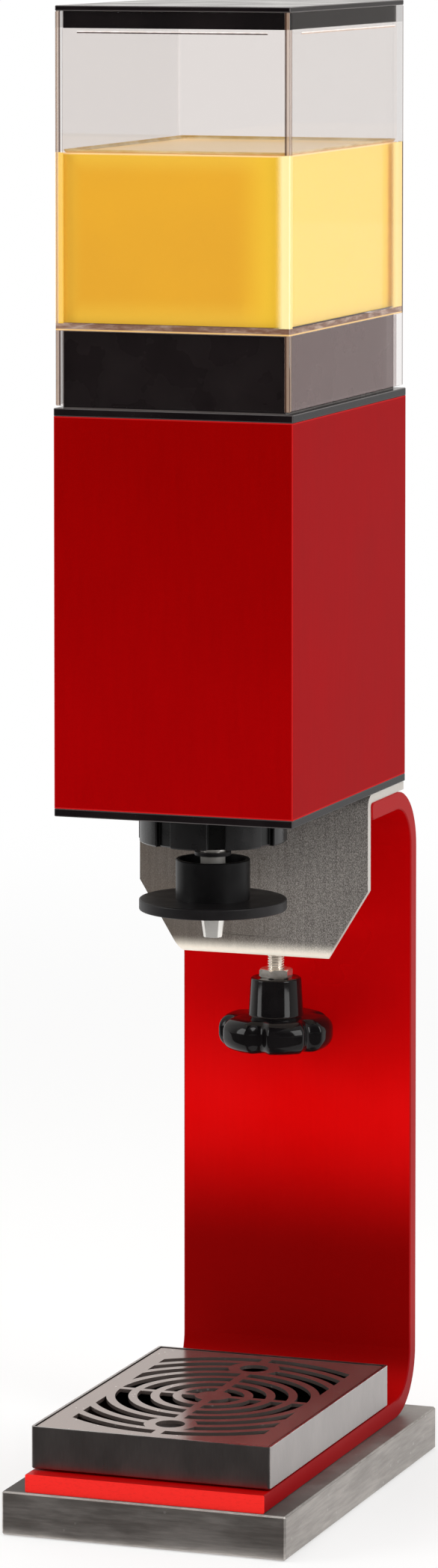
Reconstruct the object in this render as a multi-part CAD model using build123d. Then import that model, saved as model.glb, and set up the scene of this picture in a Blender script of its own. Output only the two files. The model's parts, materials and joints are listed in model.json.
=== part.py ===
from build123d import *
import math
import os

os.makedirs("parts", exist_ok=True)

# Shot dispenser: a steel base carries a bent flat bar, a screw clamp holds the head on the
# bar's arm, and the head carries the tank and the dosing valve over the drip tray.
# Millimetres. X is across, -Y is the front, Z is up, and the origin is the middle of the
# whole object's box on the surface that it stands on.

# Clearances
fit_gap = 0.05
thread_gap = 0.08
slip_gap = 0.3
end_gap = 0.5

# Stand
base_width = 166.0
base_depth = 266.0
base_thickness = 24.5
base_chamfer = 1.0
pad_diameter = 24.0
pad_thickness = 2.0
pad_proud = 0.5
pad_inset = 22.0
bar_width = 140.0
bar_thickness = 10.0
bar_bend_radius = 25.0
bar_edge_chamfer = 0.6
arm_end_round = 3.0
stand_height = 364.0
foot_setback = 2.0
column_overhang = 1.5
arm_reach = 70.5
foot_screw_diameter = 8.0
foot_screw_head = 13.0
foot_screw_head_height = 5.0
foot_screw_key = 5.0
foot_screw_key_depth = 2.6
foot_screw_sink = 8.0
foot_screw_bite = 7.5
foot_screw_inset = 22.0
foot_screw_pitch = 150.0

# Drip tray and grille
tray_proud = 0.2
tray_width = bar_width + 2 * tray_proud
tray_depth = 204.4
tray_height = 23.6
tray_wall = 1.5
tray_floor = 2.0
tray_ledge = 3.0
tray_corner = 2.0
tray_chamfer = 0.6
tray_foot_diameter = 12.0
tray_foot_thickness = 1.0
tray_foot_inset = 16.0
grille_thickness = 2.0
grille_recess = 0.4
grille_gap = 0.9
slot_width = 7.5
slot_pitch = 12.5
slot_first_radius = 14.0
slot_rings = 7
slot_half_span = 56.5
web_along = 5.4
web_across = 4.4
webbed_rings = 4
finger_hole_diameter = 16.5
finger_hole_offset = 69.5
finger_boss_diameter = 29.6

# Head clamp
sheet = 5.0
clamp_inset = 1.0
clamp_width = bar_width - 2 * clamp_inset
clamp_height = 95.8
clamp_bend_radius = 2.5
clamp_end_gap = 0.5
clamp_corner_rise = 40.9
clamp_corner_run = 25.0
clamp_flange_back = 36.0
screw_diameter = 10.0
screw_tip_depth = 5.0
screw_chamfer = 0.6
nut_across = 17.0
weld_nut_height = 8.0
lock_nut_height = 5.0
lock_nut_drop = 13.2
lock_nut_turned = -29.0
nut_chamfer = 0.9
knob_diameter = 66.0
knob_height = 41.0
knob_rim_height = 19.2
knob_rim_round = 8.0
knob_lobes = 6
knob_turned = -30.0
knob_notch = 13.0
knob_notch_depth = 4.6
knob_notch_round = 2.5
knob_hub_top = 29.3
knob_hub_base = 32.8
knob_hub_round = 1.2
knob_blind = 6.0
knob_column_gap = 3.5
clamp_pad_diameter = 22.0
clamp_pad_height = 10.0
clamp_pad_chamfer = 1.0
pad_bend_gap = 0.5
flange_screw_pitch_x = 70.0
flange_screw_pitch_y = 34.0
flange_screw_diameter = 6.0
backing_thickness = 4.0
backing_margin = 8.0

# Housing
housing_width = bar_width
housing_depth = 197.5
housing_setback = 11.5
shell_height = 218.0
shell_wall = 3.0
shell_corner = 0.8
plate_thickness = 4.5
plate_chamfer = 0.4
post_diameter = 10.0
post_inset = 12.5
post_screw_diameter = 5.0
post_screw_length = 16.0

# Tank, plinth and lid
skirt_gap = 1.5
tank_inset_side = 1.5
tank_overhang_front = 0.5
tank_inset_back = 1.0
tank_height = 217.5
tank_wall = 3.0
tank_floor = 4.0
tank_chamfer = 0.5
skirt_height = 41.5
fill_depth = 94.0
plinth_wall = 4.0
plinth_back_gap = 4.5
plinth_chamfer = 0.5
plinth_boss_diameter = 10.0
plinth_screw_diameter = 4.0
plinth_screw_head = 7.0
plinth_screw_bite = 12.0
plinth_screw_inset = 18.0
lid_thickness = 3.0
lid_chamfer = 0.4
plug_height = 9.5
plug_gap = 0.5
plug_wall = 8.0
plug_cap = 2.0

# Tank outlet, socket and feed tube
outlet_flange_diameter = 32.0
outlet_flange_thickness = 2.5
outlet_stem_diameter = 21.0
outlet_stem_length = 28.0
outlet_bore = 14.0
outlet_washer_thickness = 1.2
outlet_nut_across = 28.0
outlet_nut_height = 3.6
outlet_nut_room = 3.0
strainer_diameter = 28.0
strainer_height = 5.5
strainer_wall = 1.2
strainer_slots = 8
strainer_slot_width = 1.2
socket_flange_diameter = 52.0
socket_flange_thickness = 4.0
socket_wall = 4.6
socket_floor = 8.0
seal_section = 2.6
seal_above_foot = 6.0
barb_diameter = 16.0
barb_length = 18.0
barb_bore = 11.0
tube_wall = 3.0
tube_end_gap = 2.0
clip_width = 8.0
clip_thickness = 0.8
clip_inset = 3.0
clip_lug_width = 5.0
clip_lug_reach = 5.0

# Dosing valve
ring_nut_diameter = 83.5
ring_nut_height = 18.7
ring_nut_lobes = 8
ring_nut_groove_width = 10.0
ring_nut_groove_depth = 3.2
ring_nut_edge = 0.8
ring_nut_floor = 4.2
ring_nut_play = 0.2
ring_clamp_gap = 25.75
slip_ring_thickness = 1.6
slip_ring_width = 3.0
neck_diameter = 61.6
neck_length = 17.0
neck_wall = 4.0
neck_recess = 3.0
valve_flange_diameter = 80.0
valve_flange_thickness = 5.0
seal_below_flange = 1.2
spindle_diameter = 14.2
spindle_bore = 5.2
spindle_foot_diameter = 10.0
spindle_thread_diameter = 8.0
spindle_thread_length = 8.0
lift = 10.0
port_diameter = 3.4
port_margin = 2.4
chamber_bore = 44.0
chamber_wall = 3.0
chamber_length = 31.0
chamber_seal_thickness = 0.8
cap_diameter = 76.0
cap_thickness = 10.0
cap_chamfer = 1.0
tie_circle = 63.0
tie_diameter = 4.0
tie_head = 7.0
tie_count = 4
stop_flange_diameter = 30.0
stop_flange_thickness = 3.0
rod_diameter = 8.0
stud_diameter = 6.0
plunger_diameter = 15.0
plunger_thickness = 2.0
inlet_seal_diameter = 19.0
inlet_seal_thickness = 3.0
spring_wire = 1.6
spring_diameter = 26.0
spring_turns = 6
vent_diameter = 8.0
vent_height = 12.0
vent_offset = 20.0
vent_bore = 3.0
vent_outlet = 2.0
vent_seat = 1.5
vent_roof = 3.0
vent_ball = 4.0
vent_ball_play = 1.0

# Push disc, hub and nozzle
hub_gap = 10.5
hub_diameter = 41.8
hub_height = 22.4
hub_wall = 2.0
hub_floor = 4.0
hub_chamfer = 0.4
hub_ring_gap = 3.6
disc_diameter = 83.0
disc_thickness = 6.1
disc_round = 0.8
nozzle_length = 15.6
nozzle_top_diameter = 14.9
nozzle_tip_diameter = 10.4
collar_diameter = 20.6
collar_height = 2.0
collar_gap = 2.2

# Heights and places that follow from the sizes
front_y = -(base_depth + column_overhang) / 2
base_back_y = front_y + base_depth
base_mid_y = (front_y + base_back_y) / 2
foot_front_y = front_y + foot_setback
column_back_y = base_back_y + column_overhang
column_front_y = column_back_y - bar_thickness
base_top_z = pad_proud + base_thickness
foot_top_z = base_top_z + bar_thickness
arm_top_z = base_top_z + stand_height
arm_bottom_z = arm_top_z - bar_thickness
arm_front_y = column_front_y - arm_reach

clamp_back_y = column_front_y - housing_setback
clamp_front_y = arm_front_y - clamp_end_gap - sheet
clamp_top_z = arm_top_z + sheet
clamp_bottom_z = clamp_top_z - clamp_height
weld_nut_z = clamp_bottom_z + sheet
flange_mid_y = (clamp_front_y + sheet + clamp_back_y) / 2
pad_needs = bar_bend_radius + pad_bend_gap + clamp_pad_diameter / 2
knob_needs = knob_diameter / 2 + knob_column_gap
screw_y = column_front_y - max(pad_needs, knob_needs)
lock_nut_top_z = clamp_bottom_z - lock_nut_drop
lock_nut_z = lock_nut_top_z - lock_nut_height
knob_z = lock_nut_z - knob_height
clamp_pad_z = arm_bottom_z - clamp_pad_height
screw_tip_z = arm_bottom_z - screw_tip_depth
nozzle_y = clamp_front_y - ring_clamp_gap - ring_nut_diameter / 2

tray_z = foot_top_z + tray_foot_thickness
tray_top_z = tray_z + tray_height
grille_top_z = tray_top_z - grille_recess
grille_z = grille_top_z - grille_thickness

housing_back_y = column_front_y - housing_setback
housing_front_y = housing_back_y - housing_depth
housing_mid_y = (housing_front_y + housing_back_y) / 2
bottom_plate_z = clamp_top_z
shell_z = bottom_plate_z + plate_thickness
backing_top_z = shell_z + backing_thickness
top_plate_z = shell_z + shell_height
head_top_z = top_plate_z + plate_thickness
lower_screw_z = bottom_plate_z + post_screw_length
upper_screw_z = head_top_z - post_screw_length

tank_z = head_top_z + skirt_gap
tank_floor_z = tank_z + skirt_height
tank_inside_z = tank_floor_z + tank_floor
tank_top_z = tank_z + tank_height
tank_half_x = housing_width / 2 - tank_inset_side
tank_front_y = housing_front_y - tank_overhang_front
tank_back_y = housing_back_y - tank_inset_back
plug_z = tank_top_z - plug_height
plinth_half_x = tank_half_x - tank_wall - slip_gap
plinth_front_y = tank_front_y + tank_wall + slip_gap
plinth_back_y = tank_back_y - tank_wall - plinth_back_gap
plinth_mid_y = (plinth_front_y + plinth_back_y) / 2
plinth_screw_top_z = head_top_z + plinth_screw_bite

washer_top_z = tank_inside_z + outlet_washer_thickness
outlet_flange_top_z = washer_top_z + outlet_flange_thickness
outlet_foot_z = outlet_flange_top_z - outlet_stem_length
strainer_top_z = outlet_flange_top_z + strainer_height
nut_hole = outlet_nut_across / math.cos(math.pi / 6) + 2 * outlet_nut_room
socket_top_z = tank_floor_z - plinth_wall
socket_z = outlet_foot_z - end_gap - socket_floor
socket_bore = outlet_stem_diameter + 2 * slip_gap
feed_seal_z = outlet_foot_z + seal_above_foot
tube_bore = barb_diameter + 2 * fit_gap
tube_diameter = tube_bore + 2 * tube_wall
clip_bore = tube_diameter + 2 * fit_gap
clip_reach = clip_bore / 2 + clip_thickness + clip_lug_reach

ring_top_z = bottom_plate_z - ring_nut_play
ring_z = ring_top_z - ring_nut_height
slip_ring_z = ring_top_z - slip_ring_thickness
neck_z = shell_z - neck_length
valve_top_z = shell_z + valve_flange_thickness
outlet_seal_z = valve_top_z - seal_below_flange - seal_section / 2
chamber_z = valve_top_z + chamber_seal_thickness
chamber_top_z = chamber_z + chamber_length
cap_z = chamber_top_z + chamber_seal_thickness
cap_top_z = cap_z + cap_thickness
tube_z = cap_top_z + tube_end_gap
tube_top_z = socket_z - tube_end_gap
stop_z = valve_top_z + slip_gap
stop_top_z = stop_z + stop_flange_thickness
inlet_seal_top_z = cap_z - lift - slip_gap
inlet_seal_z = inlet_seal_top_z - inlet_seal_thickness
plunger_z = inlet_seal_z - plunger_thickness
vent_y = nozzle_y + vent_offset
port_z = valve_top_z - lift + port_diameter / 2 + port_margin

hub_top_z = ring_z - hub_gap
disc_top_z = hub_top_z - hub_height
disc_z = disc_top_z - disc_thickness
shoulder_z = disc_top_z + hub_floor
thread_foot_z = disc_z - spindle_thread_length
nozzle_z = disc_z - nozzle_length


def block(x0, x1, y0, y1, z0, z1):
    return Pos((x0 + x1) / 2, (y0 + y1) / 2, (z0 + z1) / 2) * Box(x1 - x0, y1 - y0, z1 - z0)


def rod(x, y, z0, z1, diameter):
    return Pos(x, y, (z0 + z1) / 2) * Cylinder(diameter / 2, z1 - z0)


def tube(x, y, z0, z1, outer, inner):
    return rod(x, y, z0, z1, outer) - rod(x, y, z0, z1, inner)


def taper(x, y, z0, z1, lower, upper):
    return Pos(x, y, (z0 + z1) / 2) * Cone(lower / 2, upper / 2, z1 - z0)


def hexagon(x, y, z0, z1, across):
    corner_radius = across / 2 / math.cos(math.pi / 6)
    return Pos(x, y, z0) * extrude(RegularPolygon(corner_radius, 6), z1 - z0)


def four_places(pitch_x, pitch_y, y):
    return [(side * pitch_x / 2, y + end * pitch_y / 2) for side in (-1, 1) for end in (-1, 1)]


def group(solids):
    return Compound(list(solids))


def upright_edges(solid):
    return solid.edges().filter_by(Axis.Z)


def top_edges(solid):
    return solid.faces().sort_by(Axis.Z)[-1].edges()


def bottom_edges(solid):
    return solid.faces().sort_by(Axis.Z)[0].edges()


def side_rims(solid):
    # The edges round the two faces that look along X.
    faces = solid.faces().sort_by(Axis.X)
    return faces[0].edges() + faces[-1].edges()


def bent_strip(corners, width):
    # A strip bent about X: corners has (y, z, radius) round its outline, and 0 leaves one sharp.
    points = [(0, y, z) for y, z, radius in corners]
    outline = FilletPolyline(*points, radius=[radius for y, z, radius in corners], close=True)
    return extrude(make_face(outline), width / 2, dir=(1, 0, 0), both=True)


def flush_screw(x, y, face_z, point_z, diameter):
    # A 90 degree head, twice the shank's diameter, flush with the face at face_z.
    way = math.copysign(1, point_z - face_z)
    neck_z = face_z + way * diameter / 2
    shank = rod(x, y, min(neck_z, point_z), max(neck_z, point_z), diameter)
    if way > 0:
        return taper(x, y, face_z, neck_z, 2 * diameter, diameter) + shank
    return taper(x, y, neck_z, face_z, diameter, 2 * diameter) + shank


def flush_screw_hole(x, y, face_z, point_z, diameter):
    end_z = point_z + math.copysign(end_gap, point_z - face_z)
    return flush_screw(x, y, face_z, end_z, diameter + 2 * fit_gap)


def seal_ring(z, shaft):
    # A round-section ring on a shaft, with its groove in what goes round the shaft.
    inner = shaft / 2 + fit_gap
    return Pos(0, nozzle_y, z) * Torus(inner + seal_section / 2, seal_section / 2 - fit_gap)


def seal_groove(z, shaft):
    outer = shaft + 2 * fit_gap + 2 * seal_section
    return rod(0, nozzle_y, z - seal_section / 2, z + seal_section / 2, outer)


foot_screw_places = four_places(bar_width - 2 * foot_screw_inset, foot_screw_pitch,
                                (foot_front_y + column_front_y) / 2)
base_pad_places = four_places(base_width - 2 * pad_inset, base_depth - 2 * pad_inset, base_mid_y)
foot_screw_head_z = pad_proud + foot_screw_sink
foot_screw_tip_z = base_top_z + foot_screw_bite


def base_plate():
    plate = block(-base_width / 2, base_width / 2, front_y, base_back_y, pad_proud, base_top_z)
    plate = chamfer(plate.edges(), base_chamfer)
    for x, y in base_pad_places:
        plate -= rod(x, y, 0, pad_thickness, pad_diameter + 2 * slip_gap)
    for x, y in foot_screw_places:
        plate -= rod(x, y, 0, foot_screw_head_z, foot_screw_head + 2 * end_gap)
        plate -= rod(x, y, 0, base_top_z, foot_screw_diameter + 2 * fit_gap)
    return plate


def base_pads():
    return group(rod(x, y, 0, pad_thickness, pad_diameter) for x, y in base_pad_places)


def foot_screws():
    screws = []
    head_z = foot_screw_head_z - foot_screw_head_height
    for x, y in foot_screw_places:
        screw = rod(x, y, head_z, foot_screw_head_z, foot_screw_head)
        screw += rod(x, y, foot_screw_head_z, foot_screw_tip_z, foot_screw_diameter)
        screws.append(screw - hexagon(x, y, head_z, head_z + foot_screw_key_depth, foot_screw_key))
    return group(screws)


def stand_bar():
    outer = bar_bend_radius + bar_thickness
    bar = bent_strip([(foot_front_y, base_top_z, 0), (column_back_y, base_top_z, outer),
                      (column_back_y, arm_top_z, outer), (arm_front_y, arm_top_z, arm_end_round),
                      (arm_front_y, arm_bottom_z, arm_end_round),
                      (column_front_y, arm_bottom_z, bar_bend_radius),
                      (column_front_y, foot_top_z, bar_bend_radius),
                      (foot_front_y, foot_top_z, 0)], bar_width)
    bar = chamfer(side_rims(bar), bar_edge_chamfer)
    for x, y in foot_screw_places:
        bar -= rod(x, y, base_top_z, foot_screw_tip_z + end_gap, foot_screw_diameter + 2 * fit_gap)
    return bar


def tray_box(inset, z0, z1):
    half_x = tray_width / 2 - inset
    half_y = tray_depth / 2 - inset
    return block(-half_x, half_x, nozzle_y - half_y, nozzle_y + half_y, z0, z1)


def drip_tray():
    body = tray_box(0, tray_z, tray_top_z)
    body = fillet(upright_edges(body), tray_corner)
    body = chamfer(bottom_edges(body), tray_chamfer)
    body -= tray_box(tray_wall, grille_z, tray_top_z)
    well = tray_box(tray_wall + tray_ledge, tray_z + tray_floor, grille_z)
    return body - fillet(upright_edges(well), tray_corner)


def tray_feet():
    pitch_x = tray_width - 2 * tray_foot_inset
    pitch_y = tray_depth - 2 * tray_foot_inset
    places = four_places(pitch_x, pitch_y, nozzle_y)
    return group(rod(x, y, foot_top_z, tray_z, tray_foot_diameter) for x, y in places)


def slot_band(radius, webbed):
    band = Circle(radius + slot_width / 2) - Circle(radius - slot_width / 2)
    band &= Rectangle(2 * slot_half_span, tray_depth)
    band -= Rectangle(web_along, tray_depth)
    if webbed:
        band -= Rectangle(tray_width, web_across)
    for end in (-1, 1):
        band -= Pos(0, end * finger_hole_offset) * Circle(finger_boss_diameter / 2)
    return band


def tray_grille():
    inset = tray_wall + grille_gap
    plate = RectangleRounded(tray_width - 2 * inset, tray_depth - 2 * inset, tray_corner)
    for end in (-1, 1):
        plate -= Pos(0, end * finger_hole_offset) * Circle(finger_hole_diameter / 2)
    for i in range(slot_rings):
        plate -= slot_band(slot_first_radius + i * slot_pitch, i < webbed_rings)
    return Pos(0, nozzle_y, grille_z) * extrude(plate, grille_thickness)


flange_screw_places = four_places(flange_screw_pitch_x, flange_screw_pitch_y, flange_mid_y)


def clamp_bracket():
    outer = clamp_bend_radius + sheet
    bracket = bent_strip([(clamp_back_y, clamp_top_z, 0), (clamp_front_y, clamp_top_z, outer),
                          (clamp_front_y, clamp_bottom_z, outer), (clamp_back_y, clamp_bottom_z, 0),
                          (clamp_back_y, weld_nut_z, 0),
                          (clamp_front_y + sheet, weld_nut_z, clamp_bend_radius),
                          (clamp_front_y + sheet, arm_top_z, clamp_bend_radius),
                          (clamp_back_y, arm_top_z, 0)],
                         clamp_width)
    flange_y = clamp_front_y + sheet
    for side in (-1, 1):
        corner_x = side * clamp_width / 2
        flange_x = corner_x - side * clamp_corner_run
        corner = make_face(Polyline((corner_x, clamp_front_y, clamp_bottom_z),
                                    (corner_x, clamp_front_y, clamp_bottom_z + clamp_corner_rise),
                                    (flange_x, clamp_front_y, clamp_bottom_z), close=True))
        bracket -= extrude(corner, sheet + clamp_bend_radius, dir=(0, 1, 0))
        beside = make_face(Polyline((flange_x, flange_y, clamp_bottom_z),
                                    (corner_x, flange_y, clamp_bottom_z),
                                    (corner_x, clamp_back_y, clamp_bottom_z),
                                    (side * clamp_flange_back / 2, clamp_back_y, clamp_bottom_z),
                                    close=True))
        bracket -= extrude(beside, sheet + clamp_bend_radius, dir=(0, 0, 1))
    bracket -= rod(0, screw_y, clamp_bottom_z, weld_nut_z, screw_diameter + 2 * thread_gap)
    for x, y in flange_screw_places:
        bracket -= flush_screw_hole(x, y, arm_top_z, backing_top_z, flange_screw_diameter)
    return bracket


def flange_screws():
    return group(flush_screw(x, y, arm_top_z, backing_top_z, flange_screw_diameter)
                 for x, y in flange_screw_places)


def backing_plate():
    half_x = flange_screw_pitch_x / 2 + backing_margin + flange_screw_diameter / 2
    half_y = flange_screw_pitch_y / 2 + backing_margin
    plate = block(-half_x, half_x, flange_mid_y - half_y, flange_mid_y + half_y, shell_z, backing_top_z)
    for x, y in flange_screw_places:
        plate -= rod(x, y, shell_z, backing_top_z, flange_screw_diameter + 2 * fit_gap)
    return plate


def weld_nut():
    nut = hexagon(0, screw_y, weld_nut_z, weld_nut_z + weld_nut_height, nut_across)
    return nut - rod(0, screw_y, weld_nut_z, weld_nut_z + weld_nut_height, screw_diameter + 2 * thread_gap)


def clamp_screw():
    return chamfer(rod(0, screw_y, knob_z + knob_blind, screw_tip_z, screw_diameter).edges(), screw_chamfer)


def clamp_pad():
    pad = chamfer(rod(0, screw_y, clamp_pad_z, arm_bottom_z, clamp_pad_diameter).edges(), clamp_pad_chamfer)
    return pad - rod(0, screw_y, clamp_pad_z, screw_tip_z + slip_gap, screw_diameter + 2 * fit_gap)


def clamp_lock_nut():
    nut = hexagon(0, 0, 0, lock_nut_height, nut_across)
    corners = rod(0, 0, 0, lock_nut_height, nut_across / math.cos(math.pi / 6))
    nut &= chamfer(corners.edges(), nut_chamfer)
    nut -= rod(0, 0, 0, lock_nut_height, screw_diameter + 2 * fit_gap)
    return Pos(0, screw_y, lock_nut_z) * (Rot(0, 0, lock_nut_turned) * nut)


def clamp_knob():
    star = Circle(knob_diameter / 2)
    notch_x = knob_diameter / 2 - knob_notch_depth + knob_notch / 2
    for i in range(knob_lobes):
        turn = knob_turned + 360 / knob_lobes * i
        star -= Rot(0, 0, turn) * Pos(notch_x, 0) * Circle(knob_notch / 2)
    star = fillet(star.vertices(), knob_notch_round)
    rim = fillet(rod(0, 0, 0, knob_rim_height, knob_diameter).edges(), knob_rim_round)
    rim &= extrude(star, knob_rim_height)
    hub = taper(0, 0, knob_hub_round, knob_height, knob_hub_base, knob_hub_top)
    knob = rim + fillet(top_edges(hub), knob_hub_round)
    knob -= rod(0, 0, knob_blind - slip_gap, knob_height, screw_diameter + 2 * fit_gap)
    return Pos(0, screw_y, knob_z) * knob


def head_plate(z):
    half = housing_width / 2
    plate = block(-half, half, housing_front_y, housing_back_y, z, z + plate_thickness)
    plate = fillet(upright_edges(plate), shell_corner)
    return chamfer(bottom_edges(plate) + top_edges(plate), plate_chamfer)


post_places = four_places(housing_width - 2 * post_inset, housing_depth - 2 * post_inset, housing_mid_y)
plinth_screw_places = four_places(2 * (plinth_half_x - plinth_screw_inset),
                                  plinth_back_y - plinth_front_y - 2 * plinth_screw_inset, plinth_mid_y)


def bottom_plate():
    plate = head_plate(bottom_plate_z)
    plate -= rod(0, nozzle_y, bottom_plate_z, shell_z, neck_diameter + 2 * slip_gap)
    for x, y in post_places:
        plate -= flush_screw_hole(x, y, bottom_plate_z, lower_screw_z, post_screw_diameter)
    for x, y in flange_screw_places:
        plate -= rod(x, y, bottom_plate_z, shell_z, flange_screw_diameter + 2 * fit_gap)
    return plate


def top_plate():
    plate = head_plate(top_plate_z)
    plate -= rod(0, nozzle_y, top_plate_z, head_top_z, 2 * (clip_reach + end_gap))
    for x, y in post_places:
        plate -= flush_screw_hole(x, y, head_top_z, upper_screw_z, post_screw_diameter)
    for x, y in plinth_screw_places:
        plate -= rod(x, y, top_plate_z, head_top_z, plinth_screw_diameter + 2 * fit_gap)
    return plate


def housing_shell():
    half = housing_width / 2
    shell = block(-half, half, housing_front_y, housing_back_y, shell_z, top_plate_z)
    inner = half - shell_wall
    room = block(-inner, inner, housing_front_y + shell_wall, housing_back_y - shell_wall,
                 shell_z, top_plate_z)
    return fillet(upright_edges(shell), shell_corner) - room


def corner_posts():
    hole = post_screw_diameter + 2 * fit_gap
    posts = []
    for x, y in post_places:
        post = rod(x, y, shell_z, top_plate_z, post_diameter)
        post -= rod(x, y, shell_z, lower_screw_z + end_gap, hole)
        posts.append(post - rod(x, y, upper_screw_z - end_gap, top_plate_z, hole))
    return group(posts)


def bottom_plate_screws():
    return group(flush_screw(x, y, bottom_plate_z, lower_screw_z, post_screw_diameter)
                 for x, y in post_places)


def top_plate_screws():
    return group(flush_screw(x, y, head_top_z, upper_screw_z, post_screw_diameter)
                 for x, y in post_places)


def tank_box(inset, z0, z1):
    half = tank_half_x - inset
    return block(-half, half, tank_front_y + inset, tank_back_y - inset, z0, z1)


def plinth_box(inset, z0, z1):
    half = plinth_half_x - inset
    return block(-half, half, plinth_front_y + inset, plinth_back_y - inset, z0, z1)


def plinth():
    body = plinth_box(0, head_top_z, tank_floor_z)
    body = chamfer(top_edges(body), plinth_chamfer)
    body -= plinth_box(plinth_wall, head_top_z, socket_top_z)
    for x, y in plinth_screw_places:
        body += rod(x, y, head_top_z, socket_top_z, plinth_boss_diameter)
        body -= rod(x, y, head_top_z, plinth_screw_top_z + end_gap, plinth_screw_diameter + 2 * fit_gap)
    return body - rod(0, nozzle_y, socket_top_z, tank_floor_z, nut_hole)


def plinth_screws():
    screws = []
    for x, y in plinth_screw_places:
        head = rod(x, y, top_plate_z - plinth_screw_diameter, top_plate_z, plinth_screw_head)
        screws.append(head + rod(x, y, top_plate_z, plinth_screw_top_z, plinth_screw_diameter))
    return group(screws)


def tank():
    body = chamfer(tank_box(0, tank_z, tank_top_z).edges(), tank_chamfer)
    body -= tank_box(tank_wall, tank_z, tank_floor_z)
    body -= tank_box(tank_wall, tank_inside_z, tank_top_z)
    return body - rod(0, nozzle_y, tank_floor_z, tank_inside_z, outlet_stem_diameter + 2 * fit_gap)


def outlet_washer():
    bore = outlet_stem_diameter + 2 * fit_gap
    return tube(0, nozzle_y, tank_inside_z, washer_top_z, outlet_flange_diameter, bore)


def tank_outlet():
    fitting = rod(0, nozzle_y, washer_top_z, outlet_flange_top_z, outlet_flange_diameter)
    fitting += rod(0, nozzle_y, outlet_foot_z, washer_top_z, outlet_stem_diameter)
    return fitting - rod(0, nozzle_y, outlet_foot_z, outlet_flange_top_z, outlet_bore)


def outlet_nut():
    nut_z = tank_floor_z - outlet_nut_height
    nut = hexagon(0, nozzle_y, nut_z, tank_floor_z, outlet_nut_across)
    return nut - rod(0, nozzle_y, nut_z, tank_floor_z, outlet_stem_diameter + 2 * fit_gap)


def strainer():
    under_cap_z = strainer_top_z - strainer_wall
    cup = rod(0, nozzle_y, outlet_flange_top_z, strainer_top_z, strainer_diameter)
    cup -= rod(0, nozzle_y, outlet_flange_top_z, under_cap_z, strainer_diameter - 2 * strainer_wall)
    low_z = outlet_flange_top_z + strainer_wall
    half = strainer_slot_width / 2
    slot = block(strainer_diameter / 4, strainer_diameter, -half, half, low_z, under_cap_z - half)
    for i in range(strainer_slots):
        cup -= Pos(0, nozzle_y, 0) * (Rot(0, 0, 360 / strainer_slots * i) * slot)
    return cup


def drink_fill():
    fill = tank_box(tank_wall + slip_gap, tank_inside_z + slip_gap, tank_inside_z + fill_depth)
    return fill - rod(0, nozzle_y, tank_inside_z, strainer_top_z + slip_gap,
                      outlet_flange_diameter + 2 * slip_gap)


def lid_plate():
    return chamfer(tank_box(0, tank_top_z, tank_top_z + lid_thickness).edges(), lid_chamfer)


def lid_plug():
    inset = tank_wall + plug_gap
    return tank_box(inset, plug_z, tank_top_z) - tank_box(inset + plug_wall, plug_z, tank_top_z - plug_cap)


def feed_socket():
    body = rod(0, nozzle_y, socket_top_z - socket_flange_thickness, socket_top_z, socket_flange_diameter)
    body += rod(0, nozzle_y, socket_z, socket_top_z, socket_bore + 2 * socket_wall)
    body += rod(0, nozzle_y, socket_z - barb_length, socket_z, barb_diameter)
    body -= rod(0, nozzle_y, outlet_foot_z - end_gap, socket_top_z, socket_bore)
    body -= rod(0, nozzle_y, socket_z - barb_length, socket_top_z, barb_bore)
    return body - seal_groove(feed_seal_z, outlet_stem_diameter)


def feed_seal():
    return seal_ring(feed_seal_z, outlet_stem_diameter)


def feed_tube():
    return tube(0, nozzle_y, tube_z, tube_top_z, tube_diameter, tube_bore)


def tube_clips():
    clips = []
    for z in (tube_z + clip_inset, tube_top_z - clip_inset - clip_width):
        band = tube(0, nozzle_y, z, z + clip_width, clip_bore + 2 * clip_thickness, clip_bore)
        lug = block(-clip_lug_width / 2, clip_lug_width / 2,
                    nozzle_y - clip_reach, nozzle_y - clip_bore / 2, z, z + clip_width)
        clips.append(band + (lug - rod(0, nozzle_y, z, z + clip_width, clip_bore)))
    return group(clips)


tie_angles = [360 / tie_count * (i + 0.5) for i in range(tie_count)]
tie_places = [(tie_circle / 2 * math.cos(math.radians(a)),
               nozzle_y + tie_circle / 2 * math.sin(math.radians(a)))
              for a in tie_angles]


def valve_body():
    body = rod(0, nozzle_y, shell_z, valve_top_z, valve_flange_diameter)
    body += rod(0, nozzle_y, neck_z, shell_z, neck_diameter)
    body -= rod(0, nozzle_y, neck_z, neck_z + neck_recess, neck_diameter - 2 * neck_wall)
    body -= rod(0, nozzle_y, neck_z, valve_top_z, spindle_diameter + 2 * fit_gap)
    body -= seal_groove(outlet_seal_z, spindle_diameter)
    for x, y in tie_places:
        body -= rod(x, y, shell_z, valve_top_z, tie_diameter + 2 * fit_gap)
    return body


def outlet_seal():
    return seal_ring(outlet_seal_z, spindle_diameter)


slip_ring_bore = neck_diameter + 2 * slip_gap
slip_ring_diameter = slip_ring_bore + 2 * slip_ring_width


def slip_ring():
    return tube(0, nozzle_y, slip_ring_z, ring_top_z, slip_ring_diameter, slip_ring_bore)


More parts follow.
